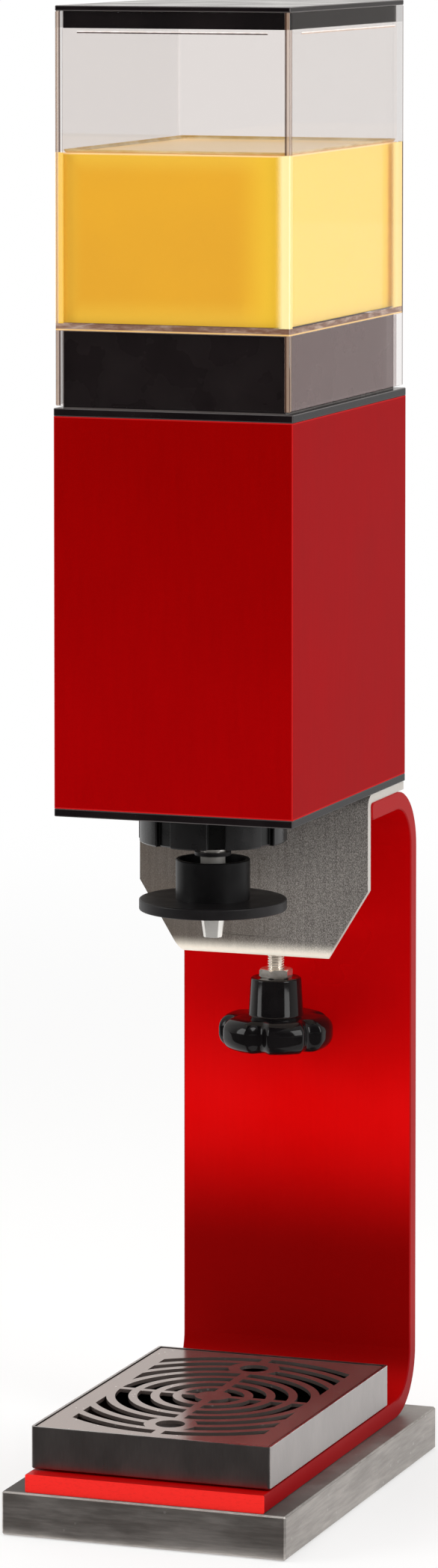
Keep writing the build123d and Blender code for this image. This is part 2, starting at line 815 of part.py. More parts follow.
def ring_nut():
    outline = Circle(ring_nut_diameter / 2)
    for i in range(ring_nut_lobes):
        turn = 360 / ring_nut_lobes * (i + 0.5)
        groove = Rectangle(2 * ring_nut_groove_depth, ring_nut_groove_width)
        outline -= Rot(0, 0, turn) * Pos(ring_nut_diameter / 2, 0) * groove
    nut = extrude(fillet(outline.vertices(), ring_nut_edge), ring_nut_height)
    nut = chamfer(bottom_edges(nut), ring_nut_edge)
    nut -= rod(0, 0, 0, ring_nut_height, hub_diameter + 2 * hub_ring_gap)
    nut -= rod(0, 0, ring_nut_floor, ring_nut_height, neck_diameter + 2 * thread_gap)
    recess = ring_nut_height - slip_ring_thickness - fit_gap
    nut -= rod(0, 0, recess, ring_nut_height, slip_ring_diameter + 2 * fit_gap)
    return Pos(0, nozzle_y, ring_z) * nut


def chamber_seals():
    outer = chamber_bore + 2 * chamber_wall
    return group(tube(0, nozzle_y, z, z + chamber_seal_thickness, outer, chamber_bore)
                 for z in (valve_top_z, chamber_top_z))


def dosing_chamber():
    return tube(0, nozzle_y, chamber_z, chamber_top_z, chamber_bore + 2 * chamber_wall, chamber_bore)


def chamber_cap():
    cap = rod(0, nozzle_y, cap_z, cap_top_z, cap_diameter)
    cap = chamfer(top_edges(cap), cap_chamfer)
    cap += rod(0, nozzle_y, cap_z, cap_top_z + barb_length, barb_diameter)
    cap -= rod(0, nozzle_y, cap_z, cap_top_z + barb_length, barb_bore)
    cap -= rod(0, vent_y, cap_z, cap_top_z, vent_bore)
    for x, y in tie_places:
        cap -= rod(x, y, cap_z, cap_top_z, tie_diameter + 2 * fit_gap)
    return cap


def chamber_ties():
    return group(rod(x, y, cap_top_z, cap_top_z + tie_diameter, tie_head)
                 + rod(x, y, shell_z, cap_top_z, tie_diameter) for x, y in tie_places)


def vent_body():
    top_z = cap_top_z + vent_height
    body = rod(0, vent_y, cap_top_z, top_z, vent_diameter)
    body -= rod(0, vent_y, cap_top_z, cap_top_z + vent_seat, vent_bore)
    body -= rod(0, vent_y, cap_top_z + vent_seat, top_z - vent_roof, vent_ball + 2 * slip_gap)
    return body - rod(0, vent_y, top_z - vent_roof, top_z, vent_outlet)


def vent_float():
    return Pos(0, vent_y, cap_top_z + vent_seat + slip_gap + vent_ball / 2) * Sphere(vent_ball / 2)


def valve_spindle():
    body = rod(0, nozzle_y, shoulder_z, stop_top_z, spindle_diameter)
    body += rod(0, nozzle_y, disc_z, shoulder_z, spindle_foot_diameter)
    body += rod(0, nozzle_y, thread_foot_z, disc_z, spindle_thread_diameter)
    body += rod(0, nozzle_y, stop_z, stop_top_z, stop_flange_diameter)
    body += rod(0, nozzle_y, stop_top_z, plunger_z, rod_diameter)
    body -= rod(0, nozzle_y, thread_foot_z, port_z, spindle_bore)
    body -= Pos(0, nozzle_y, port_z) * Sphere(spindle_bore / 2)
    port = Rot(0, 90, 0) * Cylinder(port_diameter / 2, 2 * spindle_diameter)
    return body - Pos(0, nozzle_y, port_z) * port


def inlet_plunger():
    head = rod(0, nozzle_y, plunger_z, inlet_seal_z, plunger_diameter)
    return head + rod(0, nozzle_y, inlet_seal_z, inlet_seal_top_z, stud_diameter)


def inlet_seal():
    bore = stud_diameter + 2 * fit_gap
    return tube(0, nozzle_y, inlet_seal_z, inlet_seal_top_z, inlet_seal_diameter, bore)


def helix_point(angle, radius, low_z, rise):
    return Vector(radius * math.cos(angle), radius * math.sin(angle), low_z + rise * angle / (2 * math.pi))


def helix_way(angle, radius, rise):
    return Vector(-radius * math.sin(angle), radius * math.cos(angle), rise / (2 * math.pi)).normalized()


def arc_way(start, way, end):
    # The direction at end of an arc that leaves start along way.
    chord = (end - start).normalized()
    return (chord * (2 * chord.dot(way)) - way).normalized()


def arc_pair(start, way_in, end, way_out):
    # Two arcs that leave start along way_in and reach end along way_out.
    chord = end - start
    a = 2 * (way_in.dot(way_out) - 1)
    b = -2 * chord.dot(way_in + way_out)
    reach = (-b - math.sqrt(b * b - 4 * a * chord.dot(chord))) / (2 * a)
    if reach < 0:
        reach = (-b + math.sqrt(b * b - 4 * a * chord.dot(chord))) / (2 * a)
    middle = ((start + way_in * reach) + (end - way_out * reach)) * 0.5
    return [TangentArc(start, middle, tangent=way_in),
            TangentArc(middle, end, tangent=arc_way(start, way_in, middle))]


def return_spring():
    radius = spring_diameter / 2
    low_z = stop_top_z + slip_gap + spring_wire / 2
    high_z = cap_z - slip_gap - spring_wire / 2
    rise = (high_z - low_z) / spring_turns
    quarter = math.pi / 2
    points = [helix_point(quarter * i, radius, low_z, rise) for i in range(4 * spring_turns + 1)]
    ways = [helix_way(quarter * i, radius, rise) for i in range(4 * spring_turns + 1)]
    edges = []
    for i in range(4 * spring_turns):
        edges += arc_pair(points[i], ways[i], points[i + 1], ways[i + 1])
    path = Wire(edges)
    section = Plane(origin=points[0], z_dir=ways[0]) * Circle(spring_wire / 2)
    print("spring: least gap", round(rise - spring_wire, 2), "mm, wire length", round(path.length, 1), "mm")
    return Pos(0, nozzle_y, 0) * sweep(section, path=path)


def drip_collar():
    z = hub_top_z + collar_gap
    return tube(0, nozzle_y, z, z + collar_height, collar_diameter, spindle_diameter + 2 * fit_gap)


def push_hub():
    cup = rod(0, nozzle_y, disc_top_z, hub_top_z, hub_diameter)
    cup = chamfer(top_edges(cup), hub_chamfer)
    cup -= rod(0, nozzle_y, shoulder_z, hub_top_z, hub_diameter - 2 * hub_wall)
    return cup - rod(0, nozzle_y, disc_top_z, shoulder_z, spindle_foot_diameter + 2 * fit_gap)


def push_disc():
    disc = fillet(rod(0, nozzle_y, disc_z, disc_top_z, disc_diameter).edges(), disc_round)
    return disc - rod(0, nozzle_y, disc_z, disc_top_z, spindle_foot_diameter + 2 * fit_gap)


def nozzle():
    cone = taper(0, nozzle_y, nozzle_z, disc_z, nozzle_tip_diameter, nozzle_top_diameter)
    cone -= rod(0, nozzle_y, nozzle_z, disc_z, spindle_bore)
    return cone - rod(0, nozzle_y, thread_foot_z - slip_gap, disc_z, spindle_thread_diameter + 2 * fit_gap)


nodes = [base_plate, base_pads, foot_screws, stand_bar, drip_tray, tray_feet, tray_grille,
         clamp_bracket, flange_screws, backing_plate, weld_nut, clamp_screw, clamp_pad,
         clamp_lock_nut, clamp_knob,
         bottom_plate, top_plate, housing_shell, corner_posts, bottom_plate_screws, top_plate_screws,
         plinth, plinth_screws, tank, outlet_washer, tank_outlet, outlet_nut, strainer, drink_fill,
         lid_plate, lid_plug, feed_socket, feed_seal, feed_tube, tube_clips,
         valve_body, outlet_seal, slip_ring, ring_nut,
         chamber_seals, dosing_chamber, chamber_cap, chamber_ties,
         vent_body, vent_float, valve_spindle, inlet_plunger, inlet_seal, return_spring, drip_collar,
         push_hub, push_disc, nozzle]

for make in nodes:
    export_step(make(), f"parts/{make.__name__}.step")
print("height", round(tank_top_z + lid_thickness, 2), "mm, nodes", len(nodes))
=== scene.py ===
# Finishes, fine parts, studio and camera for a countertop drink dispenser.
# Lengths are in metres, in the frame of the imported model: X to the right, Y to the back, Z up.
import json
import math

import bmesh
import bpy
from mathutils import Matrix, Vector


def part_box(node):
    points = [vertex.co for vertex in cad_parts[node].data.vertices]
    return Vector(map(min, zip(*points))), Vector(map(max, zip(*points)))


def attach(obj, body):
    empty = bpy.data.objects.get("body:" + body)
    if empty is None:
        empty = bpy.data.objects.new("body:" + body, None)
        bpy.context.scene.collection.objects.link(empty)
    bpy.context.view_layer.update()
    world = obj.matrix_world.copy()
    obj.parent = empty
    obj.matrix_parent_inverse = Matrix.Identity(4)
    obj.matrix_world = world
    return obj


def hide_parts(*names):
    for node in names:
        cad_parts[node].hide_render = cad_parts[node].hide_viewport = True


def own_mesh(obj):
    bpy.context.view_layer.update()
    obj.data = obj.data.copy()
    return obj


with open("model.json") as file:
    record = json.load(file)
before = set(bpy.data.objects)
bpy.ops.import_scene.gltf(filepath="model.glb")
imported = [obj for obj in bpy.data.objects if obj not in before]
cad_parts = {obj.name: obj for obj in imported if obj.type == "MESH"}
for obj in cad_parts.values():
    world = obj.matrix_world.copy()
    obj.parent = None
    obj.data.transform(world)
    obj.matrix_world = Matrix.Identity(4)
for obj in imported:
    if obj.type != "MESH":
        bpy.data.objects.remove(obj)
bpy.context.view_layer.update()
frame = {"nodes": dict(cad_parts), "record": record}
nodes = frame["nodes"]
print("frame loaded with", len(nodes), "nodes")

black = (0.0, 0.0, 0.0)
white = (1.0, 1.0, 1.0)
even = (1.0, 1.0, 1.0)  # no stretch


def rgba(colour):
    return (colour[0], colour[1], colour[2], 1.0)


def within(span, amount):  # a value between two others, for an amount from 0 to 1
    return span[0] + (span[1] - span[0]) * amount


def weigh(first, second, weights):
    return first * weights[0] + second * weights[1]


class Wire:
    # one output of a node, on which sums in Python add Math or Vector Math nodes
    def __init__(self, shader, socket):
        self.shader = shader
        self.socket = socket

    def __add__(self, other):
        return self.shader.sum("ADD", self, other)

    def __radd__(self, other):
        return self.shader.sum("ADD", other, self)

    def __sub__(self, other):
        return self.shader.sum("SUBTRACT", self, other)

    def __rsub__(self, other):
        return self.shader.sum("SUBTRACT", other, self)

    def __mul__(self, other):
        return self.shader.sum("MULTIPLY", self, other)

    def __rmul__(self, other):
        return self.shader.sum("MULTIPLY", other, self)

    def __pow__(self, other):
        return self.shader.sum("POWER", self, other)

    def __abs__(self):
        return self.shader.sum("ABSOLUTE", self, 0.0)

    def least(self, other):
        return self.shader.sum("MINIMUM", self, other)

    def most(self, other):
        return self.shader.sum("MAXIMUM", self, other)

    def ramp(self, low, high):  # 0 below low, 1 above high, smooth between them
        return self.shader.add("ShaderNodeMapRange", {"interpolation_type": "SMOOTHSTEP"},
                               {"Value": self, "From Min": low, "From Max": high})

    def fall(self, low, high):  # 1 below low, 0 above high
        return 1 - self.ramp(low, high)


bodySockets = {"specular": "Specular IOR Level", "alpha": "Alpha",
               "glow": "Emission Color", "glowStrength": "Emission Strength"}
fineWork = {
    "speckCore": 0.5,  # share of a dot's width that has its full colour
    "speckPatch": 0.35, "speckPatchDetail": 1.0, "speckPatchSpan": (0.55, 0.62),  # where dots are kept
    "edgeCore": 0.35,  # share of an edge's width that has its full colour
}


class Shader:
    def __init__(self, owner):
        owner.use_nodes = True
        self.owner = owner
        self.tree = owner.node_tree
        self.tree.nodes.clear()

    def add(self, kind, settings, inputs, output=0):
        made = self.tree.nodes.new(kind)
        for key, value in settings.items():
            setattr(made, key, value)
        for key, value in inputs.items():
            if isinstance(value, Wire):
                self.tree.links.new(value.socket, made.inputs[key])
            else:
                made.inputs[key].default_value = value
        return Wire(self, made.outputs[output]) if made.outputs else None

    def sum(self, operation, first, second):
        wires = [item for item in (first, second) if isinstance(item, Wire)]
        vector = any(wire.socket.type == "VECTOR" for wire in wires)
        kind = "ShaderNodeVectorMath" if vector else "ShaderNodeMath"
        return self.add(kind, {"operation": operation}, {0: first, 1: second})

    def mix(self, factor, first, second):  # two colours, each a tuple or a wire
        first, second = (item if isinstance(item, Wire) else rgba(item) for item in (first, second))
        return self.add("ShaderNodeMix", {"data_type": "RGBA"}, {0: factor, 6: first, 7: second}, 2)

    def tone(self, colour, factor):  # a colour made lighter or darker by a value around 1
        colour = colour if isinstance(colour, Wire) else rgba(colour)
        grey = self.add("ShaderNodeCombineColor", {}, {0: factor, 1: factor, 2: factor})
        return self.add("ShaderNodeMix", {"data_type": "RGBA", "blend_type": "MULTIPLY"},
                        {0: 1.0, 6: colour, 7: grey}, 2)

    def spot(self):  # where a point lies on its piece, in metres
        return self.add("ShaderNodeTexCoord", {}, {}, "Object")

    def axis(self, spot, letter):
        return self.add("ShaderNodeSeparateXYZ", {}, {0: spot}, letter)

    def away(self, spot):  # how far a point is from the origin
        return self.add("ShaderNodeVectorMath", {"operation": "LENGTH"}, {0: spot}, "Value")

    def facing(self, letter):  # one part of the direction that a face looks to
        normal = self.add("ShaderNodeNewGeometry", {}, {}, "Normal")
        return self.axis(normal, letter)

    def rays(self):  # 1 for what the camera, clear sheet or gloss shows
        kinds = ("Is Camera Ray", "Is Transmission Ray", "Is Glossy Ray")
        return [self.add("ShaderNodeLightPath", {}, {}, kind) for kind in kinds]

    def noise(self, spot, scale, stretch=even, detail=3.0, rough=0.5):
        return self.add("ShaderNodeTexNoise", {},
                        {"Vector": spot * stretch, "Scale": scale, "Detail": detail, "Roughness": rough})

    def specks(self, spot, scale, size):  # 1 in small scattered dots
        gap = self.add("ShaderNodeTexVoronoi", {}, {"Vector": spot, "Scale": scale}, "Distance")
        patch = self.noise(spot, scale * fineWork["speckPatch"], detail=fineWork["speckPatchDetail"])
        return gap.fall(size * fineWork["speckCore"], size) * patch.ramp(*fineWork["speckPatchSpan"])

    def edges(self, spot, low, high, width):  # 1 along the edges of a box, 0 on its faces
        gaps = []
        for letter, least, most in zip("XYZ", low, high):
            place = self.axis(spot, letter)
            gaps.append((place - least).least(most - place))
        small = gaps[0].least(gaps[1])
        large = gaps[0].most(gaps[1])
        middle = small.most(large.least(gaps[2]))
        return middle.fall(width * fineWork["edgeCore"], width)

    def close(self, colour, rough, height=None, depth=0.0, metal=0.0, **fixed):
        inputs = {"Base Color": colour if isinstance(colour, Wire) else rgba(colour),
                  "Roughness": rough, "Metallic": metal}
        if height is not None:
            bump = {"Strength": 1.0, "Distance": depth, "Height": height}
            inputs["Normal"] = self.add("ShaderNodeBump", {}, bump)
        for key, value in fixed.items():
            inputs[bodySockets[key]] = value
        return self.add("ShaderNodeBsdfPrincipled", {}, inputs)

    def join(self, factor, first, second):  # two surfaces
        return self.add("ShaderNodeMixShader", {}, {0: factor, 1: first, 2: second})

    def show(self, surface):
        self.add("ShaderNodeOutputMaterial", {}, {"Surface": surface})
        return self.owner


def newShader(name):
    return Shader(bpy.data.materials.new(name))


def addObject(name, data):
    made = bpy.data.objects.new(name, data)
    bpy.context.scene.collection.objects.link(made)
    return made


def makeMesh(name, points, faces, smooth=False):
    mesh = bpy.data.meshes.new(name)
    mesh.from_pydata(points, [], faces)
    mesh.validate()
    for face in mesh.polygons:
        face.use_smooth = smooth
    return addObject(name, mesh)


# Camera, at the photograph's viewing angle
viewer = {
    "place": (1.214, -3.37675, 0.9245),
    "turn": 19.827,      # degrees to the left of straight back
    "tilt": 4.069,       # degrees down
    "lens": 147.56,      # mm
    "sensor": 36.0,      # mm, the photograph's long side
    "shiftY": -0.3,
    "clip": (0.05, 200.0),
}


def makeCamera():
    lens = bpy.data.cameras.new("viewCamera")
    lens.sensor_width = viewer["sensor"]
    lens.lens = viewer["lens"]
    lens.shift_y = viewer["shiftY"]
    lens.clip_start, lens.clip_end = viewer["clip"]
    camera = addObject("viewCamera", lens)
    camera.location = viewer["place"]
    camera.rotation_euler = (math.radians(90 - viewer["tilt"]), 0.0, math.radians(viewer["turn"]))
    bpy.context.scene.camera = camera


makeCamera()
print("camera placed")


# Studio: pale floor, soft boxes, and a room that is dark in front and light behind
studio = {
    "floorDark": (0.86, 0.855, 0.85), "floorLight": (0.88, 0.875, 0.87),
    "floorCloud": 3.0, "floorRough": 0.9, "floorSpecular": 0.1,
    "floorReach": 12.0,
    "floorFade": (0.5, 2.6),        # from the object's foot to where the floor is all white
    "floorWhite": (0.55, 1.0),      # share of plain white there
    "sky": (0.62, 0.62, 0.6107),    # light on everything that isn't glossy
    "roomDark": (0.07, 0.066, 0.066), "roomLight": (0.92, 0.90, 0.875),
    "roomTurn": (-0.62, 0.22),      # from the dark front to the light back
    "roomLean": 0.45,
    "softBoxes": {
        "softBoxLeft": {"place": (-2.0, -1.25, 1.15), "size": (0.9, 1.7), "power": 22.0},
        "softBoxRight": {"place": (2.1, -0.75, 1.25), "size": (1.0, 1.7), "power": 27.0},
        "softBoxTop": {"place": (-0.15, 0.1, 2.6), "size": (1.5, 1.2), "power": 26.0},
    },
    "aim": (0.0, 0.0, 0.42),
}
frontCard = {  # on the floor in front, seen only in reflections
    "left": -8.0, "right": 4.0, "far": -14.0, "gap": 0.004, "lift": 0.0004,
    "dark": (0.06, 0.057, 0.056), "light": (0.08, 0.076, 0.075), "cloud": 4.0, "rough": 0.9,
}


def makeFloor():
    look, reach = studio, studio["floorReach"]
    corners = [(-reach, -reach, 0.0), (reach, -reach, 0.0), (reach, reach, 0.0), (-reach, reach, 0.0)]
    floor = makeMesh("floor", corners, [(0, 1, 2, 3)])
    shader = newShader("paleFloor")
    spot = shader.spot()
    fade = within(look["floorWhite"], shader.away(spot).ramp(*look["floorFade"]))
    seen, through, glossy = shader.rays()
    cloud = shader.noise(spot, look["floorCloud"])
    colour = shader.mix(cloud, look["floorDark"], look["floorLight"])
    matt = shader.close(colour, look["floorRough"], specular=look["floorSpecular"])
    plain = shader.add("ShaderNodeEmission", {}, {"Color": rgba(white), "Strength": 1.0})
    surface = shader.join(seen.most(through).most(glossy) * fade, matt, plain)
    floor.data.materials.append(shader.show(surface))


def makeFrontCard():
    look, lift = frontCard, frontCard["lift"]
    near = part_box("base_plate")[0].y - look["gap"]
    points = [(look["left"], look["far"], lift), (look["right"], look["far"], lift),
              (look["right"], near, lift), (look["left"], near, lift)]
    card = makeMesh("frontCard", points, [(0, 1, 2, 3)])
    shader = newShader("darkCard")
    colour = shader.mix(shader.noise(shader.spot(), look["cloud"]), look["dark"], look["light"])
    card.data.materials.append(shader.show(shader.close(colour, look["rough"], specular=0.0)))
    card.visible_camera = False
    card.visible_diffuse = False
    card.visible_shadow = False
    card.visible_transmission = False


def makeRoom():
    world = bpy.data.worlds.new("studioRoom")
    bpy.context.scene.world = world
    shader = Shader(world)
    way = shader.add("ShaderNodeTexCoord", {}, {}, "Generated")
    back = shader.axis(way, "Y") + shader.axis(way, "Z") * studio["roomLean"]
    seen, through, glossy = shader.rays()
    room = shader.mix(back.ramp(*studio["roomTurn"]), studio["roomDark"], studio["roomLight"])
    colour = shader.mix(glossy, studio["sky"], room)
    colour = shader.mix(seen.most(through), colour, white)
    backdrop = shader.add("ShaderNodeBackground", {}, {"Color": colour, "Strength": 1.0})
    shader.add("ShaderNodeOutputWorld", {}, {"Surface": backdrop})


def makeSoftBoxes():
    for name, look in studio["softBoxes"].items():
        light = bpy.data.lights.new(name, "AREA")
        light.shape = "RECTANGLE"
        light.size, light.size_y = look["size"]
        light.energy = look["power"]
        lamp = addObject(name, light)
        lamp.location = look["place"]
        aim = [a - b for a, b in zip(studio["aim"], look["place"])]
        flat = math.hypot(aim[0], aim[1])
        lamp.rotation_euler = (math.atan2(flat, -aim[2]), 0.0, math.atan2(aim[1], aim[0]) - math.pi / 2)


makeFloor()
makeFrontCard()
makeRoom()
makeSoftBoxes()
bpy.context.scene.view_settings.view_transform = "Standard"
print("studio ready")


# Steels: clouded colour, drawn grain, a few specks, a painted highlight along their edges, and painted
# light and shade by which way a face looks
steelWork = {
    "cloudNoise": (5.0, 0.6), "cloudSpan": (0.34, 0.66), "grainNoise": (3.0, 0.7),
    "speckSize": 0.22, "speckShare": 0.8,
    "edgeBreaks": 160.0, "edgeSpan": (0.35, 0.6), "edgeHighlightShare": 0.75,
    "squarely": (0.5, 0.9),  # how straight a face looks forward or up
    "soft": (0.0006, 0.0004), "roughWeights": (0.6, 0.4), "bumpWeights": (0.7, 0.3),
}
baseSteel = {
    "dark": (0.31, 0.286, 0.266), "light": (0.42, 0.392, 0.37), "specular": 0.04,
    "cloud": 34.0, "cloudStretch": (0.6, 0.6, 2.6),
    "grain": 620.0, "grainStretch": (0.07, 0.07, 1.0), "grainTone": 0.75,
    "specks": 200.0, "speckColour": (0.50, 0.48, 0.46),
    "edge": 0.0009, "edgeHighlightColour": (0.62, 0.60, 0.58),
    "rough": (0.36, 0.50), "depth": 0.00002, "front": 0.6,
    "top": (0.20, 0.70), "topSlant": 0.7, "topSpan": (0.7, 0.6), "topMatt": (0.98, 0.28),
}
traySteel = {
    "dark": (0.33, 0.305, 0.297), "light": (0.39, 0.362, 0.352),
    "cloud": 40.0, "cloudStretch": (1.0, 1.0, 0.5),
    "grain": 900.0, "grainStretch": (1.0, 1.0, 0.15), "grainTone": 0.25,
    "edge": 0.0007, "edgeHighlightColour": (0.62, 0.60, 0.58),
    "rough": (0.26, 0.36), "depth": 0.000006, "front": -0.12,
    "inside": (0.0014, 0.0016), "insideShadeColour": (0.012, 0.010, 0.010),
}
grilleSteel = {
    "dark": (0.295, 0.235, 0.215), "light": (0.345, 0.278, 0.255), "metal": 0.78,
    "cloud": 30.0, "cloudStretch": (1.0, 0.4, 1.0),
    "grain": 1100.0, "grainStretch": (1.0, 0.06, 1.0), "grainTone": 0.12,
    "specks": 300.0, "speckColour": (0.75, 0.70, 0.66),
    "rough": (0.16, 0.26), "depth": 0.000002,
}
brightSteel = {
    "dark": (0.62, 0.58, 0.52), "light": (0.92, 0.88, 0.82), "metal": 0.85,
    "cloud": 120.0, "cloudStretch": even,
    "grain": 1500.0, "grainStretch": (1.0, 1.0, 0.3), "grainTone": 0.3,
    "rough": (0.08, 0.20), "depth": 0.000006,
}
valveSteel = {
    "dark": (0.70, 0.67, 0.62), "light": (0.84, 0.81, 0.77), "metal": 0.5,
    "cloud": 90.0, "cloudStretch": (1.0, 1.0, 0.4),
    "grain": 1700.0, "grainStretch": (0.2, 0.2, 1.0), "grainTone": 0.16,
    "rough": (0.10, 0.20), "depth": 0.000004,
}
nozzleSteel = {
    "dark": (0.74, 0.71, 0.67), "light": (0.88, 0.86, 0.82), "metal": 0.55,
    "cloud": 70.0, "cloudStretch": (1.0, 1.0, 0.3),
    "grain": 1800.0, "grainStretch": (0.15, 0.15, 1.0), "grainTone": 0.10,
    "rough": (0.06, 0.14), "depth": 0.000003,
}


def steelFinish(name, look, box=None):
    work = steelWork
    low, high = box if box else (None, None)
    shader = newShader(name)
    spot = shader.spot()
    cloud = shader.noise(spot, look["cloud"], look["cloudStretch"], *work["cloudNoise"])
    cloud = cloud.ramp(*work["cloudSpan"])
    grain = shader.noise(spot, look["grain"], look["grainStretch"], *work["grainNoise"])
    metal = look.get("metal", 1.0)
    colour = shader.mix(cloud, look["dark"], look["light"])
    colour = shader.tone(colour, 1 + (grain - 0.5) * look["grainTone"])
    if "specks" in look:
        dots = shader.specks(spot, look["specks"], work["speckSize"])
        colour = shader.mix(dots * work["speckShare"], colour, look["speckColour"])
    # painted highlight along the box's edges, broken up by noise
    if "edge" in look:
        breaks = shader.noise(spot, work["edgeBreaks"]).ramp(*work["edgeSpan"])
        rim = shader.edges(spot, low, high, look["edge"])
        colour = shader.mix(rim * breaks * work["edgeHighlightShare"], colour, look["edgeHighlightColour"])
    # painted light and shade: faces that look forward are lighter on the base and darker on the tray
    if "front" in look:
        ahead = (0 - shader.facing("Y")).ramp(*work["squarely"])
        colour = shader.tone(colour, 1 + ahead * look["front"])
    if "top" in look:  # painted shade: the top darker and less metallic towards the left and the front
        upward = shader.facing("Z").ramp(*work["squarely"])
        far = shader.axis(spot, "X") * look["topSlant"] + shader.axis(spot, "Y")
        far = far.ramp(low.y * look["topSpan"][0], high.y * look["topSpan"][1])
        colour = shader.tone(colour, 1 + upward * (within(look["top"], far) - 1))
        metal = (1 - upward * within(look["topMatt"], far)) * metal
    if "inside" in look:  # painted shade, near black, within the walls below their rim
        wall, drop = look["inside"]
        softWall, softRim = work["soft"]
        across, along, level = (shader.axis(spot, letter) for letter in "XYZ")
        apart = (high.x - abs(across)).least((along - low.y).least(high.y - along))
        insideShade = apart.ramp(wall, wall + softWall) * level.fall(high.z - drop - softRim, high.z - drop)
        colour = shader.mix(insideShade, colour, look["insideShadeColour"])
    rough = within(look["rough"], weigh(cloud, grain, work["roughWeights"]))
    height = weigh(grain, cloud, work["bumpWeights"])
    return shader.show(shader.close(colour, rough, height, look["depth"], metal=metal,
                                    specular=look.get("specular", 0.5)))


# Clamp bracket: brushed sheet, brown and fine to the left, grey with painted glints growing to the right, a
# band of dark streaks, and a painted highlight and glow on its lower lip
clampSteel = {
    "dark": (0.085, 0.074, 0.066), "light": (0.86, 0.80, 0.75), "brown": (0.24, 0.19, 0.15),
    "fromSides": 0.02, "brownShare": (0.35, 0.70), "cloud": 18.0, "cloudSpan": (0.3, 0.7),
    "grain": 2300.0, "grainStretch": (1.0, 1.0, 0.5), "grainNoise": (2.0, 0.8), "grainSpan": (0.36, 0.72),
    "streak": 620.0, "streakStretch": (1.0, 1.0, 0.035), "streakNoise": (3.0, 0.6), "streakTone": 0.3,
    "grainGlint": (0.28, 0.70), "sparkLeast": 0.09, "glintRise": 0.05,
    "bandMottle": 60.0, "bandMottleStretch": (0.25, 1.0, 9.0), "bandMottleNoise": (3.0, 0.65), "bandMottleSpan": (0.60, 0.66),
    "darkBand": (0.009, 0.013, 0.020, 0.024), "darkBandShare": 0.55,  # heights above the lower edge
    "litLip": (0.95, 0.88, 0.76), "lipSpan": (0.0015, 0.0105), "lipShare": (0.78, 0.98), "lipGlow": 0.21,
    "cut": (0.52, 0.49, 0.45), "cutSpan": (0.35, 0.6), "cutShare": 0.85,
    "rough": (0.36, 0.52), "depth": 0.00002, "metal": 0.6, "matt": 0.5, "bumpWeights": (0.7, 0.3),
}


def clampFinish():
    look = clampSteel
    low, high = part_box("clamp_bracket")
    shader = newShader("brushedClampSheet")
    spot = shader.spot()
    across = shader.axis(spot, "X").ramp(low.x + look["fromSides"], high.x - look["fromSides"])
    level = shader.axis(spot, "Z")
    grain = shader.noise(spot, look["grain"], look["grainStretch"], *look["grainNoise"])
    streak = shader.noise(spot, look["streak"], look["streakStretch"], *look["streakNoise"])
    cloud = shader.noise(spot, look["cloud"]).ramp(*look["cloudSpan"])
    # painted glints: the grain's bright flecks grow stronger and lighter towards the right, where the light
    # falls
    grainGlint = grain.ramp(*look["grainSpan"]) * within(look["grainGlint"], across)
    grainGlint = grainGlint + (streak - 0.5) * look["streakTone"] + look["sparkLeast"] + across * look["glintRise"]
    colour = shader.mix(grainGlint.most(0.0).least(1.0), look["dark"], look["light"])
    colour = shader.mix((1 - across) * within(look["brownShare"], cloud), colour, look["brown"])
    # a band of dark streaks just above the lower lip
    bandMottle = shader.noise(spot, look["bandMottle"], look["bandMottleStretch"], *look["bandMottleNoise"])
    start, full, fade, end = (low.z + height for height in look["darkBand"])
    patchy = bandMottle.ramp(*look["bandMottleSpan"]) * level.ramp(start, full) * level.fall(fade, end)
    colour = shader.mix(patchy * look["darkBandShare"], colour, look["dark"])
    # painted highlight on the bent lower lip: lighter, less metallic, with a painted glow through Emission
    litLip = level.fall(*(low.z + height for height in look["lipSpan"]))
    colour = shader.mix(litLip * within(look["lipShare"], streak), colour, look["litLip"])
    cut = abs(shader.facing("X")).ramp(*look["cutSpan"])
    colour = shader.mix(cut * look["cutShare"], colour, look["cut"])
    metal = look["metal"] - litLip.most(cut) * look["matt"]
    return shader.show(shader.close(colour, within(look["rough"], grain),
                                    weigh(grain, streak, look["bumpWeights"]), look["depth"], metal=metal,
                                    glow=shader.mix(litLip, black, look["litLip"]), glowStrength=look["lipGlow"]))


# Stand bar: deep red on its wide faces, paler where its front end was sawn; painted shade high up under the
# housing, a painted dark reflection low down, a lighter painted bend at its foot, and a painted tray shadow
# low on its sides
barRed = {
    "deep": (0.82, 0.0012, 0.0014), "warm": (0.90, 0.0035, 0.004), "cloud": 9.0, "cloudSpan": (0.3, 0.7),
    "high": (0.62, 0.0008, 0.002), "highShadeSpan": (0.20, 0.27),  # spans of height above the table
    "low": (0.20, 0.0006, 0.0006), "lowShadeSpan": (0.11, 0.20), "lowShadeShare": 0.9,
    "litBend": (0.46, 0.003, 0.003), "litBendSpan": (0.035, 0.055),
    "side": (0.35, 0.009, 0.010), "foot": (0.28, 0.003, 0.005), "sideSpan": (0.050, 0.085),
    "sawn": (0.86, 0.026, 0.021), "sawnRough": 0.2,
    "lines": 900.0, "linesStretch": (0.55, 1.0, 1.6), "linesDetail": 1.0,
    "linesSpan": (0.30, 0.48), "linesTone": (0.93, 1.0),
    "flankEdge": (0.0009, 0.0005), "frontEdge": (0.0004, 0.0009),
    "grain": 420.0, "grainStretch": (1.0, 1.0, 0.05), "grainNoise": (3.0, 0.6), "grainTone": 0.07,
    "rough": (0.27, 0.36), "depth": 0.000008, "metal": 0.18, "specular": 0.02,
}


